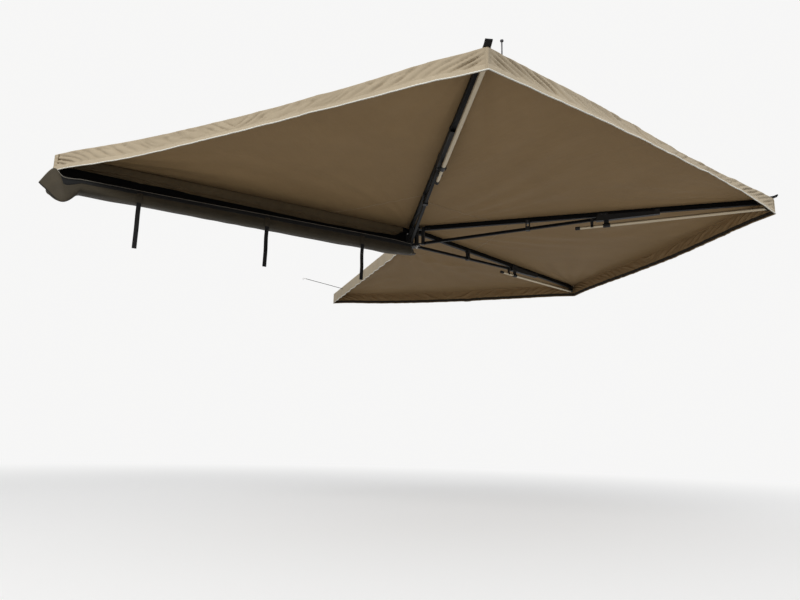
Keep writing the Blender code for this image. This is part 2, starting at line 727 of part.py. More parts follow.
def guy_pin(letter):
    """The headed pin for a second guy line: its foot stands on the beam by a fin between two panels."""
    place, side = GUY_PIN_PLACE
    seam = seam_offset(letter, place)
    foot_low, foot_high, half = -0.0024, 0.0006, 0.008
    foot = block((place - half, seam - half, foot_low), (place + half, side + half, foot_high))
    fin_half, fin_end = 0.0003, foot_high - 0.001
    fin_low = BEAM_TOP + SEAT_GAP
    fin = block((place - half, seam - fin_half, fin_low), (place + half, seam + fin_half, fin_end))
    shank = rod("z", (place, side), 0.003, foot_low + 0.001, GUY_PIN_TOP - 0.004, 16)
    head = rod("z", (place, side), 0.0075, GUY_PIN_TOP - 0.006, GUY_PIN_TOP, 20)
    return join(foot, fin, shank, head)


def outer_tube():
    """The leg's upper tube with its eye end, along +X from the pivot."""
    inside = OUTER_RADIUS - OUTER_WALL
    sides = 28
    bore = circle((0, 0), inside, sides)
    barrel = prism("x", circle((0, 0), OUTER_RADIUS, sides), 0.012, OUTER_END, [bore])
    plug = rod("x", (0, 0), OUTER_RADIUS - OUTER_WALL / 2, 0, 0.035, sides)
    eye = rod("y", (0, 0), EYE_RADIUS, -EYE_WIDTH / 2, EYE_WIDTH / 2, 26)
    hole = rod("y", (0, 0), LEG_BOLT_RADIUS + PIN_GAP, -0.02, 0.02)
    return cut(join(barrel, plug, eye), hole)


def collar():
    """The fluted twist collar, along +X from its own lower edge at the outer tube's end."""
    flute, steps = 0.0006, 6 * COLLAR_FLUTES
    outline = []
    for i in range(steps):
        angle = 2 * pi * i / steps
        radius = COLLAR_RADIUS - flute * (1 - cos(COLLAR_FLUTES * angle))
        outline.append((radius * cos(angle), radius * sin(angle)))
    start = COLLAR_START - OUTER_END
    narrow = circle((0, 0), INNER_RADIUS + SLIDE_GAP, 24)
    body = prism("x", outline, start, start + COLLAR_LENGTH, [narrow])
    return cut(body, rod("x", (0, 0), OUTER_RADIUS + SLIDE_GAP, start - 0.01, SLIDE_GAP, 24))


def inner_tube():
    bore = circle((0, 0), INNER_RADIUS - INNER_WALL)
    return prism("x", circle((0, 0), INNER_RADIUS), INNER_START, INNER_END, [bore])


def foot():
    """The rubber foot over the inner tube's end, turned about Z and laid along +X."""
    bore, wall = INNER_RADIUS + SEAT_GAP, 0.0025
    floor = 0.0095
    profile = [
        (0, floor),
        (bore, floor),
        (bore, FOOT_LENGTH),
        (bore + wall - 0.0006, FOOT_LENGTH),
        (bore + wall, FOOT_LENGTH - 0.0006),
        (bore + wall, 0.003),
        (bore + wall - 0.003, 0),
        (0, 0),
    ]
    end = INNER_END + SEAT_GAP + floor
    lay = Matrix.Translation((end, 0, 0)) @ Matrix.Rotation(-pi / 2, 4, "Y")
    obj = turned(profile, 24)
    obj.matrix_world = lay
    return obj


def canopy_panel(name, parent, first, second, step, rear_hem=False):
    """One triangle of cloth between two arms, with its valance.

    first and second are each side's (offset, reach, tip drop, corner shift), in the first arm's frame.
    """
    columns, rows, valance_rows = 20, 14, 4
    hem_columns = 3 if rear_hem else 0
    across = columns + hem_columns
    crease = 1 - valance_rows / rows
    side = radians(step)
    key = name[-2:]

    def edge(line, along, inset):
        offset, reach, drop, shift = line
        s = CANOPY_START + along * (reach - CANOPY_START)
        return Vector((s, offset + shift * along**4 + inset, -CLOTH_DEPTH - drop * s / reach))

    def place(u, v):
        u = u * across / columns
        along = min(v / crease, 1) ** 1.6
        hang = max((v - crease) / (1 - crease), 0)
        past = max(u - 1, 0) * columns / max(hem_columns, 1)
        u = min(u, 1)
        start = edge(first, along, SEAM_GAP)
        end = edge(second, along, -SEAM_GAP)
        end.rotate(Matrix.Rotation(side, 3, "Z"))
        spread = 4 * u * (1 - u)
        point = start.lerp(end, u)
        outward = Vector((point.x, point.y, 0)).normalized()
        point -= outward * HEM_IN[key] * spread * along**2
        ease = min(spread / SAG_EASE, 1)
        point.z -= through(HEM_SAG[key], u) * ease * ease * (3 - 2 * ease) * along**1.3
        point.z += 0.003 * spread * sin(10 * pi * u) * along * (1 - along**4)
        point.z -= through(VALANCE_FALL[key], u) * hang
        ripple = 0.004 * sin(14 * pi * u) * spread
        point += outward * (VALANCE_SWING[key] * sin(pi * u) + ripple) * hang**1.5
        if past:
            reach = CANOPY_START + along * (second[1] - CANOPY_START)
            fade = min(max((reach - REAR_HEM_START) / 0.35, 0), 1)
            point -= outward * 0.004 * along**6 * past
            point.z -= VALANCE * (0.03 + 0.97 * fade) * past
        return point

    def keep(u, v):
        return u * across / columns < 1 or v < crease

    return piece(name, sheet(across, rows, place, CLOTH_THICK, keep), CANVAS, parent)


def bag_profile(x):
    """The bag's five section points at a place along it."""
    pairs = list(zip(BAG_STATIONS, BAG_STATIONS[1:]))
    for (start, low), (end, high) in pairs:
        if x <= end:
            break
    share = min(max((x - start) / (end - start), 0), 1)
    share = share * share * (3 - 2 * share)
    return [Vector((0, *a)).lerp(Vector((0, *b)), share) for a, b in zip(low, high)]


def through(points, t):
    """A smooth curve through points, at t from 0 to 1."""
    spans = len(points) - 1
    i = min(int(t * spans), spans - 1)
    f = t * spans - i
    p = [points[max(min(i + k, spans), 0)] for k in (-1, 0, 1, 2)]
    rise = p[1] * 2 + (p[2] - p[0]) * f
    bend = (p[0] * 2 - p[1] * 5 + p[2] * 4 - p[3]) * f**2 + (p[1] * 3 - p[0] - p[2] * 3 + p[3]) * f**3
    return (rise + bend) / 2


def travel_bag():
    """The open bag under the back plate: a trough whose front end hangs open and flares out."""
    first, last = BAG_STATIONS[0][0], BAG_STATIONS[-1][0]
    steps = [first, -2.0, -1.3, -0.6, -0.23, -0.15, -0.1, -0.075, -0.055, -0.03, 0, last]
    columns = BAG_MOUTH_COLUMNS + len(steps) - 1
    opening = [Vector((first, y, z)) for y, z in BAG_STATIONS[0][1]]
    sections = [[Vector(point) for point in section] for section in (BAG_END_EDGE, BAG_END_SEAM, BAG_FLARE)]

    def place(u, v):
        column = round(u * columns)
        if column < BAG_MOUTH_COLUMNS:
            lines = [through(section, v) for section in (*sections, opening)]
            return through(lines, column / BAG_MOUTH_COLUMNS)
        x = steps[column - BAG_MOUTH_COLUMNS]
        point = through(bag_profile(x), v)
        point.x = x
        return point

    return sheet(columns, BAG_ROWS, place, BAG_THICK)


def bag_strap(x, low):
    """A closing strap sewn to the bag's front and hanging free below it."""
    profile = bag_profile(x)
    stand_off = BAG_THICK / 2 + SEAT_GAP + 0.0001
    path = []
    for share in (0.93, 0.89, 0.85, 0.81, 0.78):
        point = through(profile, share)
        path.append((point.y - stand_off, point.z))
    front = path[0][0]
    path += [(front + 0.001, -0.285), (front + 0.004, -0.33), (front - 0.003, -0.42), (front + 0.003, low)]
    back = [(y - STRAP_THICK, z) for y, z in reversed(path)]
    return prism("x", path + back, x - STRAP_WIDTH / 2, x + STRAP_WIDTH / 2)


def back_plate():
    """The wall extrusion: a front wall, a sail track on each long edge and two bolt slots at the back."""
    front, back = PLATE_FRONT, PLATE_FRONT + PLATE_DEPTH
    track = front + TRACK_BLOCK / 2
    wall = front + PLATE_WALL
    outline = [(front, PLATE_LOW), (front, PLATE_HIGH), *keyhole(track, PLATE_HIGH, 1)]
    outline += [(front + TRACK_BLOCK, PLATE_HIGH), (front + TRACK_BLOCK, PLATE_HIGH - TRACK_BLOCK)]
    outline += [(wall, PLATE_HIGH - TRACK_BLOCK)]
    for level in SLOT_LEVELS:
        upper = [
            (wall, level + SLOT_HALF_HOUSING),
            (back, level + SLOT_HALF_HOUSING),
            (back, level + SLOT_HALF_MOUTH),
            (back - SLOT_LIP, level + SLOT_HALF_MOUTH),
            (back - SLOT_LIP, level + SLOT_HALF_CAVITY),
            (front + SLOT_FLOOR, level + SLOT_HALF_CAVITY),
        ]
        outline += upper + [(y, 2 * level - z) for y, z in reversed(upper)]
    outline += [(wall, PLATE_LOW + TRACK_BLOCK), (front + TRACK_BLOCK, PLATE_LOW + TRACK_BLOCK)]
    outline += [(front + TRACK_BLOCK, PLATE_LOW), *reversed(keyhole(track, PLATE_LOW, -1))]
    return prism("x", outline, PLATE_START, PLATE_END)


def end_cap():
    """The moulded cap on the back plate's front end."""
    corner = 0.003
    low, high = (PLATE_FRONT, PLATE_LOW), (PLATE_FRONT + PLATE_DEPTH, PLATE_HIGH)
    outline = []
    for centre, start in (
        ((low[0] + corner, low[1] + corner), 180),
        ((high[0] - corner, low[1] + corner), 270),
        ((high[0] - corner, high[1] - corner), 0),
        ((low[0] + corner, high[1] - corner), 90),
    ):
        outline += arc(centre, corner, start, start + 90, 4)
    face = prism("x", outline, PLATE_START - SEAT_GAP - CAP_THICK, PLATE_START - SEAT_GAP)
    inner = SLOT_HALF_CAVITY - 0.001
    pegs = [
        block(
            (PLATE_START - SEAT_GAP - 0.001, PLATE_FRONT + SLOT_FLOOR + 0.0005, level - inner),
            (PLATE_START + 0.012, PLATE_FRONT + PLATE_DEPTH - SLOT_LIP - 0.0005, level + inner),
        )
        for level in SLOT_LEVELS
    ]
    return join(face, *pegs)


def hub_bracket():
    """Two plates round the pin on a web that bolts to the back plate."""
    web_back = PLATE_FRONT - SEAT_GAP - 0.0002
    web_front = web_back - PLATE_THICK
    lower_top = lug_levels("b")[1] - LUG_THICK - LUG_GAP
    lower_low = lower_top - PLATE_THICK
    web_low, web_high = lower_low, PLATE_TOP
    holes = [circle((x, z), BOLT_HOLE, 16) for x in HUB_BOLT_PLACES for z in SLOT_LEVELS]
    web = prism("y", box_outline((-0.042, web_low), (0.028, web_high)), web_front, web_back, holes)
    inside = web_back - PLATE_THICK / 2
    neck = [(0.020, 0.045), (0.0215, inside), (-0.038, inside), (-0.034, 0.060)]
    outline = hull([*circle((0, 0), PLATE_RADIUS, 40), *neck])
    bore = circle((0, 0), PIN_RADIUS + PIN_GAP, 32)
    slightly = 0.00002
    top = prism("z", outline, PLATE_TOP - PLATE_THICK, PLATE_TOP - slightly, [bore])
    bottom = prism("z", outline, lower_low + slightly, lower_top, [bore])
    return join(web, top, bottom)


def hub_pin():
    head_low = PLATE_TOP + SEAT_GAP
    head_top = head_low + PIN_HEAD_HEIGHT
    end = nut_bottom() - PIN_TAIL
    profile = [
        (0, head_top),
        (PIN_HEAD_RADIUS - 0.001, head_top),
        (PIN_HEAD_RADIUS, head_top - 0.001),
        (PIN_HEAD_RADIUS, head_low),
        (PIN_RADIUS, head_low),
        (PIN_RADIUS, end + 0.001),
        (PIN_RADIUS - 0.001, end),
        (0, end),
    ]
    return turned(profile)


def nut_top():
    return lug_levels("b")[1] - LUG_THICK - LUG_GAP - PLATE_THICK - SEAT_GAP


def nut_bottom():
    return nut_top() - WASHER_THICK - NUT_HEIGHT


def hub_nut():
    """The hexagon nut with its washer."""
    bore = circle((0, 0), PIN_RADIUS + SEAT_GAP, 32)
    washer = prism("z", circle((0, 0), WASHER_RADIUS, 32), nut_top() - WASHER_THICK, nut_top(), [bore])
    corner = NUT_FLATS / 2 / cos(pi / 6)
    nut = prism("z", circle((0, 0), corner, 6), nut_bottom(), nut_top() - WASHER_THICK + 0.0005, [bore])
    return join(washer, nut)


def hub_spacer_tube():
    """The tube that keeps upper and lower lugs apart on the pin."""
    top = lug_levels("d")[0] - LUG_THICK - LUG_GAP
    low = LOWER_LUG_TOP + LUG_GAP
    return prism("z", circle((0, 0), 0.010, 28), low, top, [circle((0, 0), PIN_RADIUS + PIN_GAP, 28)])


def rack_bracket(x):
    """An angle that bolts to the plate's slots and lies on the rack, with two slots for its bolts."""
    near = PLATE_FRONT + PLATE_DEPTH + SEAT_GAP
    far = near + BRACKET_REACH
    bend = 0.006
    outside = arc((near + bend, BRACKET_SEAT + bend), bend, 180, 270, 5)
    inner = (near + BRACKET_THICK, BRACKET_SEAT + BRACKET_THICK)
    inside = arc((inner[0] + 0.002, inner[1] + 0.002), 0.002, 270, 180, 4)
    outline = [(near, BRACKET_TOP), *outside, (far, BRACKET_SEAT)]
    outline += [(far, inner[1]), *inside, (inner[0], BRACKET_TOP)]
    body = prism("x", outline, x - BRACKET_WIDTH / 2, x + BRACKET_WIDTH / 2)
    width, length = BRACKET_SLOT
    reach = (length - width) / 2
    slots = []
    for side in (-1, 1):
        middle = x + side * BRACKET_SLOT_SPACING / 2
        ends = arc((middle, SEAT_SLOT_MIDDLE + reach), width / 2, 0, 180, 8)
        ends += arc((middle, SEAT_SLOT_MIDDLE - reach), width / 2, 180, 360, 8)
        slots.append(prism("z", ends, BRACKET_SEAT - 0.002, inner[1] + 0.002))
    holes = [rod("y", (x, level), BOLT_HOLE, near - 0.002, inner[0] + 0.002, 16) for level in SLOT_LEVELS]
    return cut(body, *slots, *holes)


def tie_point(distance):
    """A point of the taut tie strap, in the rear edge's frame."""
    heading = radians(TIE_HEADING)
    flat = (TIE_LENGTH**2 - TIE_RISE**2) ** 0.5 / TIE_LENGTH
    run = distance * flat
    x, y, z = TIE_START
    return Vector((x + run * cos(heading), y + run * sin(heading), z + TIE_RISE * distance / TIE_LENGTH))


def tie_hook():
    """The ferrule on the tie strap's end with an open wire hook."""
    start = tie_point(TIE_LENGTH + SEAT_GAP)
    along = (tie_point(TIE_LENGTH) - tie_point(0)).normalized()
    ferrule = rod("x", (0, 0), FERRULE_RADIUS, 0, FERRULE_LENGTH, 20)
    wire = [(FERRULE_LENGTH - 0.004, 0, 0), (FERRULE_LENGTH + 0.010, 0, 0)]
    bend = arc((FERRULE_LENGTH + 0.010, -HOOK_BEND), HOOK_BEND, 90, -110, 14)
    wire += [(x, 0, z) for x, z in bend[1:]]
    hook = tube(wire, HOOK_RADIUS, 2)
    turn = along.to_track_quat("X", "Z").to_matrix().to_4x4()
    lay = Matrix.Translation(start) @ turn
    return join(turn_mesh(ferrule, lay), turn_mesh(hook, lay))


# Fixed side
piece("back_plate", back_plate(), BLACK_METAL, awning)
piece("end_cap", end_cap(), MOULDED, awning)
piece("root_beam", beam(ROOT_OFFSET, ROOT_BEAM_START, ROOT_BEAM_END), BLACK_METAL, root_line)
piece("hub_bracket", hub_bracket(), BLACK_STEEL, awning)
piece("hub_pin", hub_pin(), STEEL, awning)
piece("hub_nut", hub_nut(), STEEL, awning)
piece("hub_spacer_tube", hub_spacer_tube(), BLACK_STEEL, awning)
for place, x in BRACKET_PLACES.items():
    piece(f"rack_bracket_{place}", rack_bracket(x), BLACK_STEEL, awning)
piece("travel_bag", travel_bag(), BAG_CLOTH, awning)
for place, (x, low) in BAG_STRAPS.items():
    piece(f"bag_strap_{place}", bag_strap(x, low), WEBBING, awning)

# Arms and their legs
for letter in "bcd":
    slope = slopes[letter]
    offset = OFFSETS[letter]
    name = f"arm_{letter}"
    piece(f"{name}_beam", beam(offset, BEAM_START, BEAM_END), BLACK_METAL, slope)
    piece(f"{name}_brace", brace(offset), BLACK_METAL, slope)
    piece(f"{name}_knuckle", knuckle(letter), BLACK_METAL, arms[letter])
    piece(f"{name}_spacer", spacer(letter), MOULDED, slope)
    piece(f"{name}_saddle", saddle(letter), MOULDED, slope)
    piece(f"{name}_tip", tip(letter), MOULDED, slope)
    piece(f"{name}_pivot_bolt", pivot_bolt(letter), STEEL, slope)
    piece(f"{name}_leg_clip", leg_clip(letter), MOULDED, slope)
    piece(f"{name}_corner_tab", corner_tab(letter), WEBBING, slope)
    pivot = (LEG_PIVOT, offset + LEG_OFFSET, LEG_PIVOT_Z)
    leg = frame(f"leg_{letter}", slope, pivot, (0, radians(LEG_STOW_DROP), pi))
    twist = frame(f"collar_{letter}", leg, (OUTER_END, 0, 0))
    lower = frame(f"lower_{letter}", leg)
    piece(f"leg_{letter}_outer_tube", outer_tube(), SATIN_ALUMINIUM, leg)
    piece(f"leg_{letter}_collar", collar(), MOULDED, twist)
    piece(f"leg_{letter}_inner_tube", inner_tube(), SATIN_ALUMINIUM, lower)
    piece(f"leg_{letter}_foot", foot(), RUBBER, lower)
piece("guy_pin", guy_pin("b"), STEEL, slopes["b"])

# Canopy, in the frame of each panel's first side
leans = {letter: CORNER_OFFSETS[letter] - OFFSETS[letter] for letter in OFFSETS}
sides = {letter: (OFFSETS[letter], ARM_REACH, TIP_DROP, leans[letter]) for letter in OFFSETS}
root_side = (-ROOT_HEM, ROOT_REACH, 0.0, 0.0)
rear_side = (0.0, REAR_REACH, 0.0, 0.0)
canopy_panel("canopy_panel_ab", root_line, root_side, sides["b"], ARM_STEP)
canopy_panel("canopy_panel_bc", arms["b"], sides["b"], sides["c"], ARM_STEP)
canopy_panel("canopy_panel_cd", arms["c"], sides["c"], sides["d"], ARM_STEP)
canopy_panel("canopy_panel_de", arms["d"], sides["d"], rear_side, REAR_STEP, rear_hem=True)

# Tie strap
tie_points = [tie_point(TIE_LENGTH * i / (TIE_POINTS - 1)) for i in range(TIE_POINTS)]
piece("tail_strap", tube(tie_points, TIE_RADIUS, 2), WEBBING, rear_edge)
piece("tail_hook", tie_hook(), STEEL, rear_edge)
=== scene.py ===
# %% [markdown]
# A vehicle side awning, open like a fan.
# Three arms swing out from one hub pin, and four canopy panels hang between them.
# The metal frame comes ready made from the CAD model. This lesson loads it, gives it real finishes, and
# makes what CAD can't: the canvas with its folds and hems, the travel bag, the webbing and the fasteners.

# %% Load the frame
from math import atan2, cos, pi, radians, sin, tan

import bmesh
import bpy
import numpy as np
from mathutils import Matrix, Vector


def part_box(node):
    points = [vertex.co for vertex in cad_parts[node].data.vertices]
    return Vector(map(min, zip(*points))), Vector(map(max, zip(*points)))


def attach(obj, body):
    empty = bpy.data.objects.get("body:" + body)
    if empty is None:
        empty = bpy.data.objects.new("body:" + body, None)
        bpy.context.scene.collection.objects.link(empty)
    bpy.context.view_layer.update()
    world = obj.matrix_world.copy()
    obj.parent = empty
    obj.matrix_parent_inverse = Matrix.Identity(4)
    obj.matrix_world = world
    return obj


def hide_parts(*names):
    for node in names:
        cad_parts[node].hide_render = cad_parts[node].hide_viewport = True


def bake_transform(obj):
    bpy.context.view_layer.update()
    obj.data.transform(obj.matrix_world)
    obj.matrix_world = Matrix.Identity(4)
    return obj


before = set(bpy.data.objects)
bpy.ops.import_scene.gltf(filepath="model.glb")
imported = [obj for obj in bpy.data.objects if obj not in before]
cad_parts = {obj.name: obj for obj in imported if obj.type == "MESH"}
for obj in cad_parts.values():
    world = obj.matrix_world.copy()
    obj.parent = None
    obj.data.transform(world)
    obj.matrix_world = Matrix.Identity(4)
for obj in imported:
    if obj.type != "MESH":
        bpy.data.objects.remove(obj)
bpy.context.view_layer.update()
bpy.ops.object.select_all(action="DESELECT")

# %% [markdown]
# The camera stands low in front of the awning and looks up at it, as in the photograph.
# Its place was found by fitting the known sizes of the awning to the corners seen in the picture.
# The turn is built from three directions: right, up and back, because a camera looks along its own -Z.

# %% Camera
HUB = np.array((1.27, -0.158, 0.14))  # the hub pin's axis, at the level of the canopy's top
CAMERA_PLACE = HUB + (-2.693, -4.194, -1.650)
CAMERA_YAW, CAMERA_PITCH, CAMERA_ROLL = radians(31.31), radians(11.89), radians(-1.17)
CAMERA_LENS = 29.66

right = Vector((cos(CAMERA_YAW), -sin(CAMERA_YAW), 0))
run = cos(CAMERA_PITCH)
ahead = Vector((sin(CAMERA_YAW) * run, cos(CAMERA_YAW) * run, sin(CAMERA_PITCH)))
above = right.cross(ahead)
level = right * cos(CAMERA_ROLL) - above * sin(CAMERA_ROLL)
upward = right * sin(CAMERA_ROLL) + above * cos(CAMERA_ROLL)
camera_data = bpy.data.cameras.new("camera")
camera_data.lens = CAMERA_LENS
camera_data.clip_end = 200
camera = bpy.data.objects.new("camera", camera_data)
turn = Matrix((level, upward, -ahead)).transposed().to_4x4()
camera.matrix_world = Matrix.Translation(CAMERA_PLACE) @ turn
bpy.context.scene.collection.objects.link(camera)
bpy.context.scene.camera = camera

# %% [markdown]
# Every finish is a small network of shader nodes. Wiring nodes by hand takes many lines, so one class
# wraps a socket and lets Python's own signs add the Math nodes, and the next one holds the material.
# Patterns are in metres, on the object's own coordinates or on the cloth's flat coordinates.

# %% Wiring for the finishes
class Signal:
    """A value on its way from one shader node to the next."""

    def __init__(self, finish, socket):
        self.finish, self.socket = finish, socket

    def maths(self, operation, *values):
        return self.finish.node("Math", {"operation": operation}, dict(enumerate(values)))

    def __add__(self, other):
        return self.maths("ADD", self, other)

    def __mul__(self, other):
        return self.maths("MULTIPLY", self, other)

    def __sub__(self, other):
        return self.maths("SUBTRACT", self, other)

    def __rsub__(self, other):
        return self.maths("SUBTRACT", other, self)

    def __pow__(self, other):
        return self.maths("POWER", self, other)

    __radd__, __rmul__ = __add__, __mul__

    def larger(self, other):
        return self.maths("MAXIMUM", self, other)

    def between(self, low, high):
        """0 below low, 1 above high and smooth between them."""
        limits = {"Value": self, "From Min": low, "From Max": high}
        return self.finish.node("MapRange", {"interpolation_type": "SMOOTHSTEP"}, limits)

    def ridges(self, pitch, width):
        """1 on lines that repeat at a pitch, and 0 between them."""
        distance = self.maths("PINGPONG", self, pitch / 2)
        return 1 - distance.between(width * 0.3, width)


# %% [markdown]
# A material is a shader that nodes feed. One method adds a node of any kind: its settings come first,
# then the values or links of its sockets. Colours meet in a Mix node, because a Math node would turn them
# grey. At the end, complete feeds what changes over the surface: colour, roughness and bumps.

# %% Materials
class Finish:
    """A material: its nodes, and the shader that they feed."""

    def __init__(self, name, roughness, metallic=0.0, fixed=None):
        self.made = bpy.data.materials.new(name)
        self.made.use_nodes = True
        self.tree = self.made.node_tree
        self.shader = self.tree.nodes["Principled BSDF"]
        self.shader.inputs["Roughness"].default_value = roughness
        self.shader.inputs["Metallic"].default_value = metallic
        for socket, value in (fixed or {}).items():
            self.shader.inputs[socket].default_value = value

    def node(self, kind, settings=None, inputs=None, output=0):
        """Adds a node: its settings first, then the values or links of its sockets."""
        made = self.tree.nodes.new("ShaderNode" + kind)
        for key, value in (settings or {}).items():
            if key == "stops":
                ramp = made.color_ramp
                while len(ramp.elements) < len(value):
                    ramp.elements.new(0.5)
                for element, (position, colour) in zip(ramp.elements, value):
                    element.position, element.color = position, (*colour, 1)
            else:
                setattr(made, key, value)
        for key, value in (inputs or {}).items():
            if isinstance(value, Signal):
                self.tree.links.new(value.socket, made.inputs[key])
            else:
                made.inputs[key].default_value = value
        return Signal(self, made.outputs[output])

    def place(self, turn=0.0, stretch=(1, 1, 1)):
        """The object's own coordinates, turned about Z and stretched."""
        spot = self.node("TexCoord", output="Object")
        straight = self.node("Mapping", inputs={"Vector": spot, "Rotation": (0, 0, turn)})
        return self.stretched(straight, stretch)

    def cloth_place(self):
        return self.node("UVMap", {"uv_map": "cloth"})

    def split(self, vector):
        """The first two numbers of a vector."""
        return [self.node("SeparateXYZ", inputs={0: vector}, output=axis) for axis in range(2)]

    def noise(self, vector, scale, detail=3.0, roughness=0.55):
        inputs = {"Vector": vector, "Scale": scale, "Detail": detail, "Roughness": roughness}
        return self.node("TexNoise", inputs=inputs)

    def stretched(self, vector, stretch):
        return self.node("Mapping", inputs={"Vector": vector, "Scale": stretch})

    def mix(self, factor, first, second, blend="MIX"):
        first, second = (x if isinstance(x, Signal) else (*x, 1) for x in (first, second))
        settings = {"data_type": "RGBA", "blend_type": blend}
        return self.node("Mix", settings, {0: factor, 6: first, 7: second}, output=2)

    def feed(self, name, value):
        self.tree.links.new(value.socket, self.shader.inputs[name])

    def complete(self, colour, roughness, height, distance, strength):
        """Feeds the colour, the roughness and the bumps, and hands over the material."""
        self.feed("Base Color", colour)
        self.feed("Roughness", roughness)
        inputs = {"Strength": strength, "Distance": distance, "Height": height}
        self.feed("Normal", self.node("Bump", inputs=inputs))
        return self.made


# %% [markdown]
# The canvas is a ripstop: a plain weave with a thicker thread every 8 mm, both ways. Outside it is a
# sun-bleached tan. Inside it carries a waterproof coating, which makes it browner and a little shinier.
# Faint blotches, dust in the folds and creases pressed in by the travel bag keep it from looking flat.

# %% Canvas finishes
RIPSTOP_PITCH, RIPSTOP_WIDTH = 0.008, 0.0011


def canvas(name, pale, deep, roughness, dusty, sheen, specular):
    finish = Finish(name, roughness, fixed={"Sheen Weight": sheen, "Specular IOR Level": specular})
    spot = finish.cloth_place()
    across, along = finish.split(spot)
    squares = [way.ridges(RIPSTOP_PITCH, RIPSTOP_WIDTH) for way in (across, along)]
    grid = squares[0].larger(squares[1])
    waves = [way.maths("SINE", way * 5200) for way in (across, along)]
    weave = waves[0] * waves[1]
    blotch = finish.noise(spot, 1.7, 4.0)
    grime = finish.noise(spot, 9.0, 5.0, 0.65)
    crease = finish.noise(finish.stretched(spot, (7.0, 1.6, 1)), 2.2, 4.0, 0.6)
    shade = blotch * 0.55 + grime * 0.30 + crease * 0.15
    colour = finish.mix(shade.between(0.30, 0.70), deep, pale)
    colour = finish.mix(grid * 0.10, colour, [0.72 * c for c in deep])
    dust = grime.between(0.52, 0.75) * dusty
    colour = finish.mix(dust, colour, (0.42, 0.36, 0.27))
    pucker = finish.noise(spot, 38.0, 3.0, 0.5)
    height = crease + pucker * 0.16 + grid * 0.035 + weave * 0.012
    return finish.complete(colour, roughness + (grime - 0.5) * 0.16, height, 0.006, 0.55)


OUTSIDE_TONES = (0.44, 0.364, 0.255), (0.355, 0.29, 0.20)
HEM_TONES = (0.50, 0.42, 0.30), (0.41, 0.34, 0.24)
INSIDE_TONES = (0.37, 0.245, 0.122), (0.322, 0.212, 0.105)
# The root skirt's tones are the canvas darkened with painted shade, for the shadow it hangs in under the
# canopy.
SHADED_SKIRT_TONES = (0.17, 0.125, 0.07), (0.12, 0.088, 0.05)
CANVAS_OUTSIDE = canvas("sun-bleached ripstop canvas", *OUTSIDE_TONES, 0.82, 0.25, 0.08, 0.3)
HEM_CANVAS = canvas("doubled canvas of the hem", *HEM_TONES, 0.82, 0.25, 0.08, 0.3)
CANVAS_INSIDE = canvas("coated inner side of the canvas", *INSIDE_TONES, 0.62, 0.03, 0.0, 0.1)
SHADED_SKIRT_CANVAS = canvas("root skirt canvas with painted shade", *SHADED_SKIRT_TONES, 0.75, 0.04, 0.0, 0.1)


def woven(name, colour, pitch, roughness=0.85):
    """Webbing or tape: ribs across, a lengthwise twill and rubbed edges, on flat coordinates."""
    finish = Finish(name, roughness, fixed={"Sheen Weight": 0.06, "Specular IOR Level": 0.2})
    spot = finish.cloth_place()
    across, along = finish.split(spot)
    rib = along.ridges(pitch, pitch * 0.45)
    twill = (across + along * 0.6).ridges(pitch * 1.3, pitch * 0.5)
    fuzz = finish.noise(spot, 260.0, 3.0)
    wear = finish.noise(spot, 14.0, 5.0, 0.65)
    pale = [min(0.95, c * 1.5 + 0.004) for c in colour]
    worn = [min(0.95, c * 2 + 0.008) for c in colour]
    shade = rib * 0.35 + twill * 0.25 + fuzz * 0.4
    tone = finish.mix(shade.between(0.2, 0.8), colour, pale)
    tone = finish.mix(wear.between(0.55, 0.75) * 0.25, tone, worn)
    height = rib * 0.5 + twill * 0.4 + fuzz * 0.25
    return finish.complete(tone, roughness - 0.1 + fuzz * 0.2, height, 0.0006, 0.8)


WEBBING = woven("black polyester webbing", (0.008, 0.008, 0.0083), 0.0022)
HEM_PIPING = woven("cream hem piping", (0.70, 0.655, 0.58), 0.0016, 0.75)
# The zip edge is a real cord, and its pale grey is a painted highlight along the bag's lip.
ZIP_EDGE_HIGHLIGHT = woven("grey zip edge with painted highlight", (0.21, 0.195, 0.165), 0.0016, 0.7)
SEAM_TAPE = woven("canvas seam tape", (0.30, 0.245, 0.17), 0.0016)
INNER_TAPE = woven("coated inner seam tape", (0.29, 0.195, 0.105), 0.0016)
HEM_LINING = woven("dark hem lining", (0.028, 0.023, 0.016), 0.0018)
EDGE_BINDING = woven("dark edge binding", (0.060, 0.048, 0.033), 0.0018)
THREAD = woven("tan sewing thread", (0.40, 0.33, 0.24), 0.0009)
BLACK_THREAD = woven("black sewing thread", (0.03, 0.03, 0.03), 0.0009)


# %% [markdown]
# The travel bag is woven polyester with a thick vinyl coat. It is darker and shinier than the canvas,
# creases where it is rolled up, and its folds rub pale on the road.

# %% Bag finish
def coated_bag():
    fixed = {"Sheen Weight": 0.03, "Specular IOR Level": 0.22}
    finish = Finish("dark vinyl-coated bag cloth", 0.5, fixed=fixed)
    spot = finish.cloth_place()
    across, along = finish.split(spot)
    scrim = across.ridges(0.0016, 0.0007) * along.ridges(0.0016, 0.0007)
    grime = finish.noise(spot, 6.0, 6.0, 0.65)
    streak = finish.noise(finish.stretched(spot, (14.0, 1.2, 1)), 1.5, 5.0, 0.6)
    scuff = finish.noise(spot, 45.0, 6.0, 0.7)
    soil = (grime * 0.6 + streak * 0.4).between(0.33, 0.68)
    tone = finish.mix(soil, (0.033, 0.0265, 0.0165), (0.062, 0.050, 0.032))
    rubbed = scuff.between(0.62, 0.78) * grime.between(0.45, 0.7)
    tone = finish.mix(rubbed * 0.12, tone, (0.22, 0.185, 0.14))
    height = streak + scuff * 0.12 + scrim * 0.05
    return finish.complete(tone, 0.48 + grime * 0.3, height, 0.006, 0.5)


BAG_CLOTH = coated_bag()


# %% [markdown]
# The extrusions are anodised: the colour sits in the metal's skin, so the drawing lines of the die stay
# visible along each bar. A noise that is stretched along the bar gives those lines, and because the arms
# point different ways, each arm gets the finish turned to its own direction.

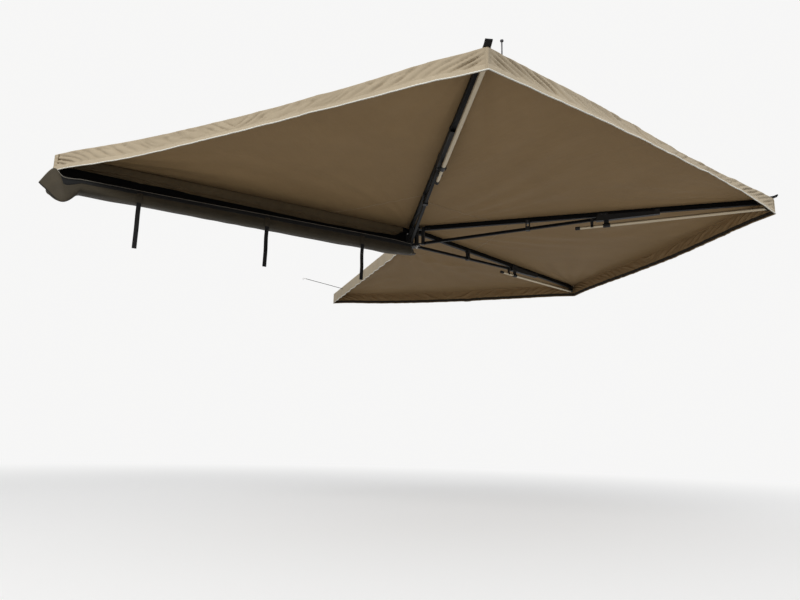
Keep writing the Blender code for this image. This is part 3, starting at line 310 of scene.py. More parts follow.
# %% Metal finishes
def drawn_metal(name, colour, roughness, turn, lines, metallic=1.0, worn=0.0, specular=0.5):
    """Metal with fine lines along a bar that lies at an angle about Z."""
    finish = Finish(name, roughness, metallic, {"Specular IOR Level": specular})
    along_bar = finish.place(-turn, (0.6, 90.0, 90.0))
    draw = finish.noise(along_bar, 3.0, 4.0, 0.6)
    spot = finish.place(-turn)
    smudge = finish.noise(spot, 7.0, 4.0)
    scored = finish.noise(finish.place(-turn, (2.0, 60.0, 60.0)), 6.0, 6.0, 0.75)
    scratch = scored.between(0.66, 0.80)
    pale = [c * 1.35 + 0.002 for c in colour]
    tone = finish.mix(draw * 0.6 + smudge * 0.4, colour, pale)
    tone = finish.mix(scratch * worn, tone, (0.35, 0.35, 0.35))
    dull = roughness - 0.08 + draw * lines + smudge * 0.08
    return finish.complete(tone, dull, draw * 0.6 + scratch * 0.3, 0.0004, 0.35)


def coated_metal(name, colour, roughness):
    """Powder coat: a fine orange peel, dull dust and rubbed spots."""
    finish = Finish(name, roughness, fixed={"Specular IOR Level": 0.3})
    spot = finish.place()
    peel = finish.noise(spot, 900.0, 2.0)
    dust = finish.noise(spot, 18.0, 6.0, 0.6)
    tone = finish.mix(dust.between(0.35, 0.8), colour, [c * 1.6 + 0.004 for c in colour])
    return finish.complete(tone, roughness - 0.1 + dust * 0.25, peel, 0.0003, 0.5)


def moulded(name, colour, roughness, grain):
    """Injection moulded plastic with a spark-eroded grain and paler scuffs."""
    finish = Finish(name, roughness, fixed={"Specular IOR Level": 0.3})
    spot = finish.place()
    fine = finish.noise(spot, grain, 2.0)
    scuff = finish.noise(spot, 60.0, 6.0, 0.7)
    haze = finish.noise(spot, 12.0, 3.0)
    tone = finish.mix(haze, colour, [c * 1.6 + 0.004 for c in colour])
    tone = finish.mix(scuff.between(0.64, 0.80) * 0.2, tone, [c * 2 + 0.012 for c in colour])
    dull = roughness - 0.08 + fine * 0.1 + haze * 0.12
    return finish.complete(tone, dull, fine * 0.8 + scuff * 0.2, 0.0003, 0.5)


def plated_steel(name, deep, pale):
    """Plating: bright where it is whole, with a dull bloom and fine stains."""
    finish = Finish(name, 0.32, 1.0)
    spot = finish.place()
    bloom = finish.noise(spot, 70.0, 5.0, 0.65)
    stain = finish.noise(spot, 240.0, 3.0)
    tone = finish.mix(bloom.between(0.3, 0.75), deep, pale)
    return finish.complete(tone, 0.22 + bloom * 0.22 + stain * 0.06, stain, 0.0002, 0.3)


# %% [markdown]
# The arms stand at even steps round the hub, and the last panel's step is a little smaller. Each bar gets
# the drawn metal turned to its own arm: black on the arms and champagne on the legs. The fittings are
# nylon, what bears load is painted or plated steel, and the feet are rubber.

# %% Finishes of the bars and fittings
ARM_STEP, LAST_STEP = 64.78, 63.64
AZIMUTH = {"root": pi}
for number, letter in enumerate("bcd"):
    AZIMUTH[letter] = radians(180 + ARM_STEP * (number + 1))
AZIMUTH["e"] = radians(180 + 3 * ARM_STEP + LAST_STEP)
ARM_BLACK, LEG_SATIN = {}, {}
for letter in ("root", "b", "c", "d"):
    turn = AZIMUTH[letter]
    name = f"black anodised bar {letter}"
    ARM_BLACK[letter] = drawn_metal(name, (0.005, 0.005, 0.0052), 0.45, turn, 0.12, 0.0, 0.04, 0.06)
    if letter != "root":
        name = f"champagne anodised leg {letter}"
        LEG_SATIN[letter] = drawn_metal(name, (0.42, 0.355, 0.25), 0.40, turn, 0.14, 0.6)
PAINTED_STEEL = coated_metal("black powder-coated steel", (0.006, 0.006, 0.0063), 0.5)
NYLON = moulded("black glass-filled nylon", (0.006, 0.006, 0.0063), 0.5, 1300.0)
RUBBER = moulded("black rubber", (0.014, 0.0135, 0.013), 0.78, 700.0)
ZINC = plated_steel("zinc plated steel", (0.50, 0.50, 0.50), (0.68, 0.66, 0.62))
BLACK_ZINC = plated_steel("black zinc plated steel", (0.035, 0.035, 0.038), (0.075, 0.075, 0.08))
print(len(bpy.data.materials), "materials, with those of the frame")

# %% [markdown]
# The solids that stay as the CAD model made them only need their finish, so it takes the place of the
# plain material that they came with.

# %% Finishes on the frame
# Each line is one finish and the nodes that get it.
FINISHES = [
    (ARM_BLACK["root"], "back_plate root_beam"),
    (PAINTED_STEEL, "hub_bracket hub_spacer_tube"),
    (PAINTED_STEEL, "rack_bracket_front rack_bracket_middle rack_bracket_rear"),
    (NYLON, "end_cap"),
    (ZINC, "hub_pin hub_nut tail_hook"),
    (BLACK_ZINC, "guy_pin"),
]
for letter in "bcd":
    arm, leg = f"arm_{letter}_", f"leg_{letter}_"
    FINISHES += [
        (ARM_BLACK[letter], f"{arm}beam {arm}brace"),
        (PAINTED_STEEL, f"{arm}knuckle"),
        (NYLON, f"{arm}spacer {arm}saddle {arm}tip {arm}leg_clip {leg}collar"),
        (ZINC, f"{arm}pivot_bolt"),
        (LEG_SATIN[letter], f"{leg}outer_tube {leg}inner_tube"),
        (RUBBER, f"{leg}foot"),
    ]
count = 0
for finish, nodes in FINISHES:
    for node in nodes.split():
        materials = bpy.data.objects[node].data.materials
        materials.clear()
        materials.append(finish)
        count += 1
print(count, "CAD nodes have their finish")


# %% [markdown]
# Three makers build all the soft pieces: cloth, round_cord and stitches. Each of them also writes flat
# coordinates in metres, called "cloth", so that the weave follows the fabric. First come the short
# functions that they share.

# %% What the makers of soft pieces share
def finished(name, mesh, *finishes):
    """A mesh becomes a named piece at the origin."""
    piece = bpy.data.objects.new(name, mesh)
    bpy.context.scene.collection.objects.link(piece)
    for finish in finishes:
        mesh.materials.append(finish)
    mesh.shade_smooth()
    mesh.set_sharp_from_angle(angle=radians(50))
    return piece


def apply_all(piece):
    bpy.ops.object.select_all(action="DESELECT")
    bpy.context.view_layer.objects.active = piece
    piece.select_set(True)
    for modifier in [m.name for m in piece.modifiers]:
        bpy.ops.object.modifier_apply(modifier=modifier)
    piece.select_set(False)
    return piece


def reach_along(points):
    """The distance from the first point to each point of a line."""
    return np.concatenate(([0], np.cumsum(np.linalg.norm(np.diff(points, axis=0), axis=1))))


def mesh_of(name, verts, faces, flat, repair=None, **settings):
    """A mesh with its flat coordinates. repair is a bmesh operator that goes over it last."""
    mesh = bpy.data.meshes.new(name)
    mesh.from_pydata(verts, [], faces)
    layer = mesh.uv_layers.new(name="cloth")
    corners = np.array([loop.vertex_index for loop in mesh.loops])
    layer.data.foreach_set("uv", np.array(flat, dtype=np.float32)[corners].ravel())
    if repair:
        shape = bmesh.new()
        shape.from_mesh(mesh)
        part = {"verts": shape.verts} if settings else {"faces": shape.faces}
        repair(shape, **part, **settings)
        shape.to_mesh(mesh)
        shape.free()
    return mesh


def surface_area(grid):
    """The area in square metres of the sheet through a grid of points."""
    along, across = grid[1:] - grid[:-1], grid[:, 1:] - grid[:, :-1]
    return float(np.linalg.norm(np.cross(along[:, 1:], across[1:]), axis=2).sum())


def belongs(pieces, body):
    """The pieces ride on one body."""
    for piece in pieces:
        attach(piece, body)


def flat_lengths(grid):
    """Distances in metres along both directions of a grid of points."""
    across = np.linalg.norm(np.diff(grid, axis=1), axis=2).mean(axis=0)
    along = np.linalg.norm(np.diff(grid, axis=0), axis=2).mean(axis=1)
    u, v = (np.concatenate(([0], np.cumsum(steps))) for steps in (across, along))
    return np.stack(np.meshgrid(u, v), axis=2)


# %% [markdown]
# Cloth is a sheet of four-sided faces through a grid of points. Two grids that share an edge are joined
# along it. A Solidify modifier gives the sheet its thickness, with a second finish on its other side.

# %% Cloth
def cloth(name, grids, wall, *finishes, flats=None):
    """Cloth through grids of points that share an edge. A second finish is for its other side."""
    verts, faces, flat = [], [], []
    for number, grid in enumerate(grids):
        rows, columns = grid.shape[:2]
        first = len(verts)
        verts.extend(grid.reshape(-1, 3).tolist())
        flat.extend((flats[number] if flats else flat_lengths(grid)).reshape(-1, 2).tolist())
        for r in range(rows - 1):
            start = first + r * columns
            for c in range(start, start + columns - 1):
                faces.append((c, c + 1, c + 1 + columns, c + columns))
    if len(grids) > 1:
        mesh = mesh_of(name, verts, faces, flat, bmesh.ops.remove_doubles, dist=0.00005)
    else:
        mesh = mesh_of(name, verts, faces, flat)
    piece = finished(name, mesh, *finishes)
    solid = piece.modifiers.new("wall", "SOLIDIFY")
    solid.thickness = wall
    solid.offset = 0
    if len(finishes) > 1:
        solid.material_offset = 1
    return apply_all(piece)


# %% [markdown]
# A cord is a tube of rings. Each ring is carried on from the one before it, so the tube doesn't twist
# where its line bends, and both ends are closed.

# %% Round cord
def spaced(points, step):
    """Points at an even distance along a line."""
    points = np.asarray(points, float)
    reach = reach_along(points)
    wanted = np.linspace(0, reach[-1], max(2, round(reach[-1] / step) + 1))
    return np.stack([np.interp(wanted, reach, points[:, axis]) for axis in range(3)], axis=1)


def round_cord(name, points, radius, finish, sides=10):
    """A closed round cord along a line of points."""
    points = np.asarray(points, float)
    tangents = np.gradient(points, axis=0)
    tangents /= np.linalg.norm(tangents, axis=1)[:, None]
    side = np.cross(tangents[0], (0.0, 0.0, 1.0))
    if np.linalg.norm(side) < 0.1:
        side = np.cross(tangents[0], (1.0, 0.0, 0.0))
    angles = np.linspace(0, 2 * pi, sides, endpoint=False)
    rings = []
    for point, tangent in zip(points, tangents):
        side = side - tangent * side.dot(tangent)
        side /= np.linalg.norm(side)
        lift = np.cross(side, tangent)
        ring = np.cos(angles)[:, None] * side + np.sin(angles)[:, None] * lift
        rings.append(point + radius * ring)
    count = len(points)
    verts = np.concatenate(rings).tolist() + [points[0].tolist(), points[-1].tolist()]
    faces = []
    for r in range(count - 1):
        for s in range(sides):
            t = (s + 1) % sides
            faces.append((r * sides + s, r * sides + t, (r + 1) * sides + t, (r + 1) * sides + s))
    last = (count - 1) * sides
    for s in range(sides):
        t = (s + 1) % sides
        faces.append((len(verts) - 2, t, s))
        faces.append((len(verts) - 1, last + s, last + t))
    reach = reach_along(points)
    flat = [(radius * a, d) for d in reach for a in angles] + [(0, 0), (0, reach[-1])]
    mesh = mesh_of(name, verts, faces, flat, bmesh.ops.recalc_face_normals)
    return finished(name, mesh, finish)


# %% [markdown]
# A stitch is a low ridge of eight points whose ends dip into the cloth. There are thousands of them, so
# one mesh holds a whole row and each stitch has only six faces.

# %% Stitches
def stitches(name, points, outward, finish, length=0.0048, pitch=0.0078, half=0.0005):
    """A row of separate stitches along a line, each a low ridge that stands on the cloth."""
    points = np.asarray(points, float)
    outward = np.broadcast_to(np.asarray(outward, float), points.shape)
    reach = reach_along(points)
    starts = np.arange(0.004, reach[-1] - length, pitch)

    def along(distance, values):
        return np.stack([np.interp(distance, reach, values[:, axis]) for axis in range(3)], axis=1)

    low, high, out = along(starts, points), along(starts + length, points), along(starts, outward)
    run = high - low
    side = np.cross(run, out)
    side /= np.linalg.norm(side, axis=1)[:, None]
    out = out / np.linalg.norm(out, axis=1)[:, None]
    corners = []
    for share, height in ((0.0, 0.0), (0.25, 1.0), (0.75, 1.0), (1.0, 0.0)):
        for sign in (-1, 1):
            narrow = 0.6 if height else 1.0
            raised = out * (height * half * 1.5 - half * 0.4)
            corners.append(low + run * share + side * sign * half * narrow + raised)
    verts = np.stack(corners, axis=1).reshape(-1, 3)
    shape = [(0, 1, 3, 2), (2, 3, 5, 4), (4, 5, 7, 6), (0, 2, 4, 6), (1, 7, 5, 3), (0, 6, 7, 1)]
    faces = [tuple(8 * i + k for k in face) for i in range(len(starts)) for face in shape]
    mesh = mesh_of(name, verts.tolist(), faces, verts[:, :2], bmesh.ops.recalc_face_normals)
    return finished(name, mesh, finish)


# %% [markdown]
# The canopy. Each panel is one sheet between two arms. It is drawn tight at the arms, hangs a little in
# the middle, and turns down at its outer edge into a valance. The tips pull folds across it, and the
# valance ripples because its hem is a little longer than the edge above it.
# The points come from one formula, so that hems, seams and stitches can lie on the same surface.

# %% Sizes of the canopy
ARM_REACH, ROOT_REACH, REAR_REACH = 2.50, 2.552, 2.727
TIP_DROP = 0.022
CLOTH_DEPTH = 0.00425  # the cloth's middle below the canopy's top line
CLOTH_WALL = 0.0012
WALL_HALF = CLOTH_WALL / 2
CANOPY_START = 0.035
SEAM_GAP = 0.0013
VALANCE = 0.112
BAND = 0.030
CREASE_RADIUS = 0.006
SLOPE = atan2(TIP_DROP, ARM_REACH)
ARM_OFFSET = {"b": -0.050, "c": 0.0, "d": 0.050}
CORNER_OFFSET = {"b": -0.040, "c": 0.0, "d": 0.040}

# How each hem runs between its corners, in metres: how far it is drawn in, how deep the cloth above it
# sags, how far the valance falls, and how far it swings out.
HEM_IN = {"ab": 0.030, "bc": 0.008, "cd": 0.030, "de": 0.020}
HEM_SAG = {
    "ab": (0, 0.013, 0.021, 0.025, 0.024, 0.020, 0.013, 0.002, 0),
    "bc": (0, -0.006, -0.012, -0.007, 0.003, 0.013, 0.012, 0.006, 0),
    "cd": (0, 0.008, 0.022, 0.032, 0.030, 0.025, 0.015, 0.006, 0),
    "de": (0, 0.008, 0.016, 0.022, 0.027, 0.028, 0.024, 0.014, 0),
}
VALANCE_FALL = {
    "ab": (0.108, 0.111, 0.110, 0.103, 0.097, 0.095, 0.096, 0.104, VALANCE),
    "bc": (0.110, 0.111, 0.113, 0.107, 0.097, 0.084, 0.081, 0.091, VALANCE),
    "cd": (VALANCE,) * 9,
    "de": (VALANCE,) * 9,
}
VALANCE_SWING = {"ab": 0.010, "bc": 0.045, "cd": 0.0, "de": 0.0}
SAG_EASE = 0.6
# Long folds run from one place to another. A place is a share of the way between the arms and a distance
# from the hub, and the last number is the fold's depth.
LONG_FOLDS = {
    "cd": (
        (0.06, 2.25, 0.20, 1.75, 0.010),
        (0.13, 2.30, 0.34, 1.95, 0.009),
        (0.86, 2.28, 0.70, 1.90, 0.008),
    ),
    "de": (
        (0.772, 0.791, 0.227, 1.277, 0.014),
        (0.89, 1.539, 0.675, 1.587, 0.010),
        (0.837, 1.872, 0.379, 2.169, 0.013),
    ),
}
PANEL_DEPTH = 2.11  # from the hub to the middle of a panel's crease


# %% [markdown]
# Three kinds of help for these shapes: a smooth curve through a few values, soft random waves, and places
# on an arm, written as a distance along it, one beside it and a height.

# %% Curves, waves and places on the arms
def through(points, share):
    """A smooth curve through points or values, at shares from 0 to 1."""
    points, share = np.asarray(points, float), np.asarray(share, float)
    spans = len(points) - 1
    i = np.clip(np.floor(share * spans).astype(int), 0, spans - 1)
    f = share * spans - i
    if points.ndim > 1:
        f = f[..., None]
    p = [points[np.clip(i + k, 0, spans)] for k in (-1, 0, 1, 2)]
    bend = (p[0] * 2 - p[1] * 5 + p[2] * 4 - p[3]) * f**2 + (p[1] * 3 - p[0] - p[2] * 3 + p[3]) * f**3
    return (p[1] * 2 + (p[2] - p[0]) * f + bend) / 2


def relief(x, y, seed):
    """Smooth random waves from -1 to 1. One unit of x or y leads from one to the next."""
    x, y = np.broadcast_arrays(np.asarray(x, float), np.asarray(y, float))
    table = np.random.default_rng(seed).uniform(-1, 1, (64, 64))
    i, j = np.floor(x).astype(int), np.floor(y).astype(int)
    s, t = x - i, y - j
    s, t = s * s * (3 - 2 * s), t * t * (3 - 2 * t)
    near, far = [], []
    for row, k in ((near, 0), (far, 1)):
        row.append(table[i % 64, (j + k) % 64] * (1 - s) + table[(i + 1) % 64, (j + k) % 64] * s)
    return near[0] * (1 - t) + far[0] * t


def sideways(letter):
    """The level direction across an arm."""
    return np.array((-sin(AZIMUTH[letter]), cos(AZIMUTH[letter]), 0.0))


def turned(points, azimuth):
    """Points drawn along and beside an arm, turned to its direction round the hub pin."""
    points = np.asarray(points, float)
    c, s = cos(azimuth), sin(azimuth)
    x, y = points[..., 0], points[..., 1]
    return np.stack([x * c - y * s, x * s + y * c, points[..., 2]], axis=-1) + HUB


def on_arm(letter, points):
    """Points on a swinging arm, which falls a little towards its tip."""
    points = np.asarray(points, float)
    x, z, c, s = points[..., 0], points[..., 2], cos(SLOPE), sin(SLOPE)
    fallen = np.stack([x * c + z * s, points[..., 1], z * c - x * s], axis=-1)
    return turned(fallen, AZIMUTH[letter])


def seam_offset(letter, place):
    """Where two panels meet above an arm: on its line at the hub, at the cloth's corner at its tip."""
    along = (place - CANOPY_START) / (ARM_REACH - CANOPY_START)
    return ARM_OFFSET[letter] + (CORNER_OFFSET[letter] - ARM_OFFSET[letter]) * along**4


def fold_fan(distance, angle, pitch, reach, height):
    """Folds that fan out from a corner which pulls on the cloth."""
    fade = (distance / reach) * np.exp(1 - distance / reach)
    return height * fade**2 * np.cos(2 * pi * angle / pitch)


# %% [markdown]
# One panel's surface as a formula. The cloth between the arms rises and sinks with its sag and its folds,
# and the valance swings out and in. Put together, they give a point of the cloth for any place on it.

# %% One panel of the canopy
class Panel:
    """One triangle of canvas. first and second are a side's (offset, reach, tip drop, corner shift)."""

    def __init__(self, name, arm, step, first, second, tip_folds, hub_folds, ripple, roll):
        self.name, self.azimuth, self.step = name, AZIMUTH[arm], radians(step)
        self.first, self.second = first, second
        self.tip_folds, self.hub_folds, self.ripple, self.roll = tip_folds, hub_folds, ripple, roll
        self.seed = ord(name[0])

    def side(self, line, along, inset):
        offset, reach, drop, shift = line
        s = CANOPY_START + along * (reach - CANOPY_START)
        return np.stack([s, offset + shift * along**4 + inset, -CLOTH_DEPTH - drop * s / reach], axis=-1)

    def top_lift(self, u, along, width):
        """How far the cloth between the arms stands above its straight lines."""
        spread = 4 * u * (1 - u)
        ease = np.minimum(spread / SAG_EASE, 1)
        lift = -through(HEM_SAG[self.name], u) * ease**2 * (3 - 2 * ease) * along**1.3
        lift += 0.003 * spread * np.sin(10 * pi * u) * along * (1 - along**4)
        rolled = relief(u * width / 0.11, 0.5, self.seed) * np.minimum(spread * 3, 1)
        lift += self.roll * rolled * along**30
        soft = relief(u * width / 0.34 + along * 2, along * 5, self.seed + 6)
        soft = soft + 0.5 * relief(u * width / 0.15 - along * 5, along * 9, self.seed + 7)
        lift += 0.0060 * soft * np.minimum(spread * 2, 1) * along * (1 - along**12)
        for share, height in ((u, self.tip_folds[0]), (1 - u, self.tip_folds[1])):
            x, y = share * width, (1 - along) * PANEL_DEPTH
            distance = np.hypot(x, y) + 1e-6
            angle = np.arctan2(x, y + 0.35 * x)
            lift += fold_fan(distance, angle, 0.30, 0.42, height) * np.minimum(share / 0.03, 1)
        for first, start, second, end, depth in LONG_FOLDS.get(self.name, ()):
            ends = [start * np.exp(1j * first * self.step), end * np.exp(1j * second * self.step)]
            place = ARM_REACH * along * (1 - u + u * np.exp(1j * self.step)) - ends[0]
            run = ends[1] - ends[0]
            share = np.clip((place * run.conjugate()).real / abs(run) ** 2, 0, 1)
            apart = np.abs(place - run * share) / (0.014 + 0.020 * np.sin(pi * share))
            lift = lift - depth * np.exp(-(apart**2)) * (0.35 + 0.65 * np.sin(pi * share))
        fan = fold_fan(along * 2.4, u + 0.10 * np.sin(5 * along + 7 * u), 0.21, 1.15, self.hub_folds)
        return lift + fan * np.minimum(spread * 1.6, 1) * (1 - along**6)

    def swell(self, u, drop, width):
        """How far the valance stands out: its swing, ripples, gathers and crinkles."""
        spread, hang = 4 * u * (1 - u), drop / VALANCE
        x = u * width
        near = np.minimum(x, width - x)
        ripple = 0.0042 * np.sin(2 * pi * x / 0.142 + 1.7 * np.sin(2 * pi * x / 0.61) + 1.6 * hang)
        ripple += 0.0022 * np.sin(2 * pi * x / 0.063 + 2.1 * np.sin(2 * pi * x / 0.37) - 2.4 * hang)
        ripple *= self.ripple * np.minimum(spread * 2.2, 1)
        swing = VALANCE_SWING[self.name] * np.sin(pi * u) + ripple
        start = near - drop * (1.7 + 2.6 * np.exp(-near / 0.30))
        phase = start / 0.098 + 0.40 * relief(near * 6, drop * 12, self.seed + 1)
        strength = 0.6 + 0.4 * relief(start / 0.13, drop / 0.10, self.seed + 5)
        tuck = (0.5 + 0.5 * np.cos(2 * pi * phase)) ** 2.3
        gather = -0.0260 * tuck * strength * np.exp(-near / 0.55)
        sharp = (1 - np.abs(relief(start / 0.065, drop / 0.050, self.seed + 2))) ** 4
        small = relief(start / 0.045, drop / 0.024, self.seed + 3)
        crinkle = (-0.0090 * sharp + 0.0036 * small) * (1 - np.exp(-near / 0.40))
        upper = np.sin(pi * np.clip(drop / (VALANCE - BAND + 0.004), 0, 1)) ** 0.6
        pleat = 0.0009 * np.sin(2 * pi * x / 0.020 + 2.5 * relief(x * 14, 0.5, self.seed + 4))
        edge = np.minimum(np.minimum(u, 1 - u) / 0.022, 1)
        return swing * hang**1.5 + ((gather + crinkle) * upper + pleat * hang**2) * edge

    def at(self, u, along, drop=0.0):
        """A point of the cloth: u from one arm to the next, along from hub to crease, drop past it."""
        u, along, drop = np.broadcast_arrays(*(np.asarray(v, float) for v in (u, along, drop)))
        start = self.side(self.first, along, SEAM_GAP)
        end = self.side(self.second, along, -SEAM_GAP)
        c, s = cos(self.step), sin(self.step)
        x, y = end[..., 0], end[..., 1]
        end = np.stack([x * c - y * s, x * s + y * c, end[..., 2]], axis=-1)
        point = start + (end - start) * u[..., None]
        flat = point * (1, 1, 0)
        outward = flat / np.linalg.norm(flat, axis=-1)[..., None]
        point = point - outward * (HEM_IN[self.name] * 4 * u * (1 - u) * along**2)[..., None]
        width = np.linalg.norm(end - start, axis=-1)
        point[..., 2] += self.top_lift(u, along, width)
        past_crease = np.where(drop > 0, 1.0, 0.0)
        angle = np.clip(drop / CREASE_RADIUS, 0, pi / 2)
        below = np.maximum(drop - CREASE_RADIUS * pi / 2, 0) / (VALANCE - CREASE_RADIUS * pi / 2)
        fall = through(VALANCE_FALL[self.name], u) - CREASE_RADIUS
        point[..., 2] -= past_crease * (CREASE_RADIUS * (1 - np.cos(angle)) + fall * below)
        out = self.swell(u, np.clip(drop, 0, VALANCE), width) - CREASE_RADIUS * (1 - np.sin(angle))
        point += outward * (past_crease * out)[..., None]
        return turned(point, self.azimuth)

    def outward(self, u):
        """The direction that the valance faces."""
        inner, outer = self.at(u, 0.9), self.at(u, 1.0)
        flat = (outer - inner) * (1, 1, 0)
        return flat / np.linalg.norm(flat, axis=-1)[..., None]

    def flat(self, points, drop=0.0):
        """Flat coordinates in metres, along the hem and away from the hub."""
        middle = self.azimuth + self.step / 2
        local = points - HUB
        across = local[..., 0] * -sin(middle) + local[..., 1] * cos(middle)
        away = local[..., 0] * cos(middle) + local[..., 1] * sin(middle)
        return np.stack([across, away + drop], axis=-1)


# %% [markdown]
# The four panels differ in the places of their sides, in the depth of their folds and in how much they
# ripple. Each hangs between two edges: the fixed root, one of the arms, or the free rear edge.

# %% The four panels
SIDES = {}
for letter in "bcd":
    shift = CORNER_OFFSET[letter] - ARM_OFFSET[letter]
    SIDES[letter] = (ARM_OFFSET[letter], ARM_REACH, TIP_DROP, shift)
ROOT_SIDE, REAR_SIDE = (-0.102, ROOT_REACH, 0.0, 0.0), (0.0, REAR_REACH, 0.0, 0.0)
PANELS = {
    "ab": Panel("ab", "root", ARM_STEP, ROOT_SIDE, SIDES["b"], (0.004, 0.003), 0.003, 0.2, 0.003),
    "bc": Panel("bc", "b", ARM_STEP, SIDES["b"], SIDES["c"], (0.003, 0.004), 0.003, 0.25, 0.006),
    "cd": Panel("cd", "c", ARM_STEP, SIDES["c"], SIDES["d"], (0.004, 0.006), 0.003, 0.8, 0.0),
    "de": Panel("de", "d", LAST_STEP, SIDES["d"], REAR_SIDE, (0.005, 0.004), 0.007, 1.0, 0.0),
}


def hang_between(pieces, panel):
    """The pieces keep their places, with their transforms baked into their meshes."""
    start, end = (tuple(panel.at(share, 1.0)) for share in (0.0, 1.0))
    for piece in pieces:
        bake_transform(piece)


# %% [markdown]
# The sheets themselves: a grid of points from hub to crease, round the crease, and down to the hem.
# The last panel also has a valance along its free rear edge, which is short near the hub.

# %% Canopy panels
COLUMNS, TOP_ROWS, ARC_ROWS, HANG_ROWS = 480, 44, 4, 20
u = np.linspace(0, 1, COLUMNS + 1)
top = np.linspace(0, 1, TOP_ROWS + 1) ** 0.9 * (1 - CREASE_RADIUS / PANEL_DEPTH)
arc_drop = np.linspace(0.0003, CREASE_RADIUS * pi / 2, ARC_ROWS)
hang_drop = np.linspace(CREASE_RADIUS * pi / 2, VALANCE, HANG_ROWS + 1)[1:]
drops = np.concatenate([np.zeros(TOP_ROWS + 1), arc_drop, hang_drop])
alongs = np.concatenate([top, np.ones(ARC_ROWS + HANG_ROWS)])


def rear_valance(panel, rows=110, levels=12):
    """Points of the flap that hangs from the free rear edge."""
    along = np.linspace(0, 1, rows + 1)[:, None]
    past = np.linspace(0, 1, levels + 1)[None, :]
    crown = panel.at(np.ones_like(along), along * (1 - CREASE_RADIUS / PANEL_DEPTH))
    reach = CANOPY_START + along * (REAR_REACH - CANOPY_START)
    fade = np.clip((reach - 0.16) / 0.35, 0, 1)
    ripple = 0.0060 * np.sin(2 * pi * reach / 0.17 + 1.5 * np.sin(reach * 5))
    ripple = ripple + 0.0045 * np.sin(2 * pi * reach / 0.055 + 1.8 * np.sin(reach * 7 + 1))
    ripple = ripple * np.minimum((1 - along) * 12, 1) * fade
    drop = VALANCE * (0.03 + 0.97 * fade) * past
    away = np.array((cos(AZIMUTH["e"]), sin(AZIMUTH["e"]), 0.0))
    points = np.repeat(crown, levels + 1, axis=1)
    points[..., 2] -= drop
    points -= away * (0.004 * along**6 * past)[..., None]
    points += sideways("e") * (ripple * past**1.3)[..., None]
    flat = np.stack([panel.flat(crown)[..., 0] + past * VALANCE, reach + 0 * past], axis=-1)
    return points, flat


canopy = {}
for name, panel in PANELS.items():
    grid = panel.at(u[None, :], alongs[:, None], drops[:, None])
    grids, flats = [grid], [panel.flat(grid, drops[:, None] - 0 * u[None, :])]
    if name == "de":
        points, flat = rear_valance(panel)
        grids.append(points)
        flats.append(flat)
    area = sum(surface_area(part) for part in grids)
    sides = CANVAS_INSIDE, CANVAS_OUTSIDE
    piece = cloth(f"canopy_panel_{name}_canvas", grids, CLOTH_WALL, *sides, flats=flats)
    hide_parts(f"canopy_panel_{name}")
    hang_between([piece], panel)
    canopy[name] = (piece, area)
    print(name, "panel:", round(area, 3), "square metres,", len(piece.data.polygons), "faces")

# %% [markdown]
# The hem. The canvas is folded up 30 mm and sewn, so the lower edge of the valance is a stiffer double
# band. A cream piping is sewn on outside the fold, and it draws the pale line that outlines the awning.

# %% Hems, piping and seams
SEAM_PLACES = {"ab": 0.27, "bc": 0.225, "cd": 0.312, "de": 0.33}
SEAM_ALONG = 0.005 / 2.445  # the seam's half width as a share of a panel's length
PIPING_RADIUS = 0.0032
# From the middle of the cloth out to the hem's band and to its stitches, and in to its lining.
OUT, STITCH_OUT, IN = WALL_HALF + 0.0009, WALL_HALF + 0.0017, WALL_HALF + 0.0006

for name, panel in PANELS.items():
    canvas_piece, area = canopy[name]
    facing = panel.outward(u)
    levels = np.linspace(VALANCE - BAND, VALANCE - 0.0004, 6)
    band_grid = panel.at(u[None, :], 1.0, levels[:, None]) + facing[None] * OUT
    band_flat = [panel.flat(band_grid, levels[:, None] + 0 * u[None, :])]
    band = cloth(f"canopy_hem_band_{name}", [band_grid], 0.0016, HEM_CANVAS, flats=band_flat)
    lining_grid = panel.at(u[None, :], 1.0, levels[:-1, None]) - facing[None] * IN
    lining = cloth(f"canopy_hem_lining_{name}", [lining_grid], 0.0008, HEM_LINING)
    piping_line = panel.at(u, 1.0, VALANCE - 0.0028) + facing * (WALL_HALF + 0.0040)
    piping = round_cord(f"canopy_piping_{name}", piping_line, PIPING_RADIUS, HEM_PIPING, 8)
    rows = []
    for i, drop in enumerate((VALANCE - BAND + 0.003, VALANCE - 0.0085)):
        row = panel.at(u, 1.0, drop) + facing * STITCH_OUT
        rows.append(stitches(f"canopy_hem_stitches_{name}_{i}", row, facing, THREAD))
    middle = SEAM_PLACES[name]
    across = np.linspace(-SEAM_ALONG, SEAM_ALONG, 4)
    seam_u = np.linspace(0.006, 0.994, 121)
    seam_grid = panel.at(seam_u[None, :], (middle + across)[:, None]) - (0, 0, IN)
    seam = cloth(f"canopy_seam_{name}", [seam_grid], 0.0007, INNER_TAPE)
    seam_rows = []
    for side, word in ((-0.7, "in"), (0.7, "out")):
        line = panel.at(seam_u, middle + side * SEAM_ALONG) - (0, 0, WALL_HALF + 0.0010)
        seam_rows.append(stitches(f"canopy_seam_stitches_{name}_{word}", line, (0, 0, -1), THREAD))
    pieces = [band, lining, piping, *rows, seam, *seam_rows]
    if name == "de":
        points, _ = rear_valance(panel)
        side = sideways("e")
        rear_line = points[6:, -1] + side * 0.0046 + (0, 0, 0.0028)
        pieces.append(round_cord("canopy_piping_rear", rear_line, PIPING_RADIUS, HEM_PIPING, 8))
        rear_row = points[8:, -3] + side * (WALL_HALF + 0.0003)
        pieces.append(stitches("canopy_hem_stitches_rear", rear_row, side, THREAD))
    hang_between(pieces, panel)
    print(name, "hem and seam:", len(pieces), "pieces")
    2.80 if name == "de" else 2.72
    "arm_d_beam" if name == "de" else f"arm_{name[1]}_beam"

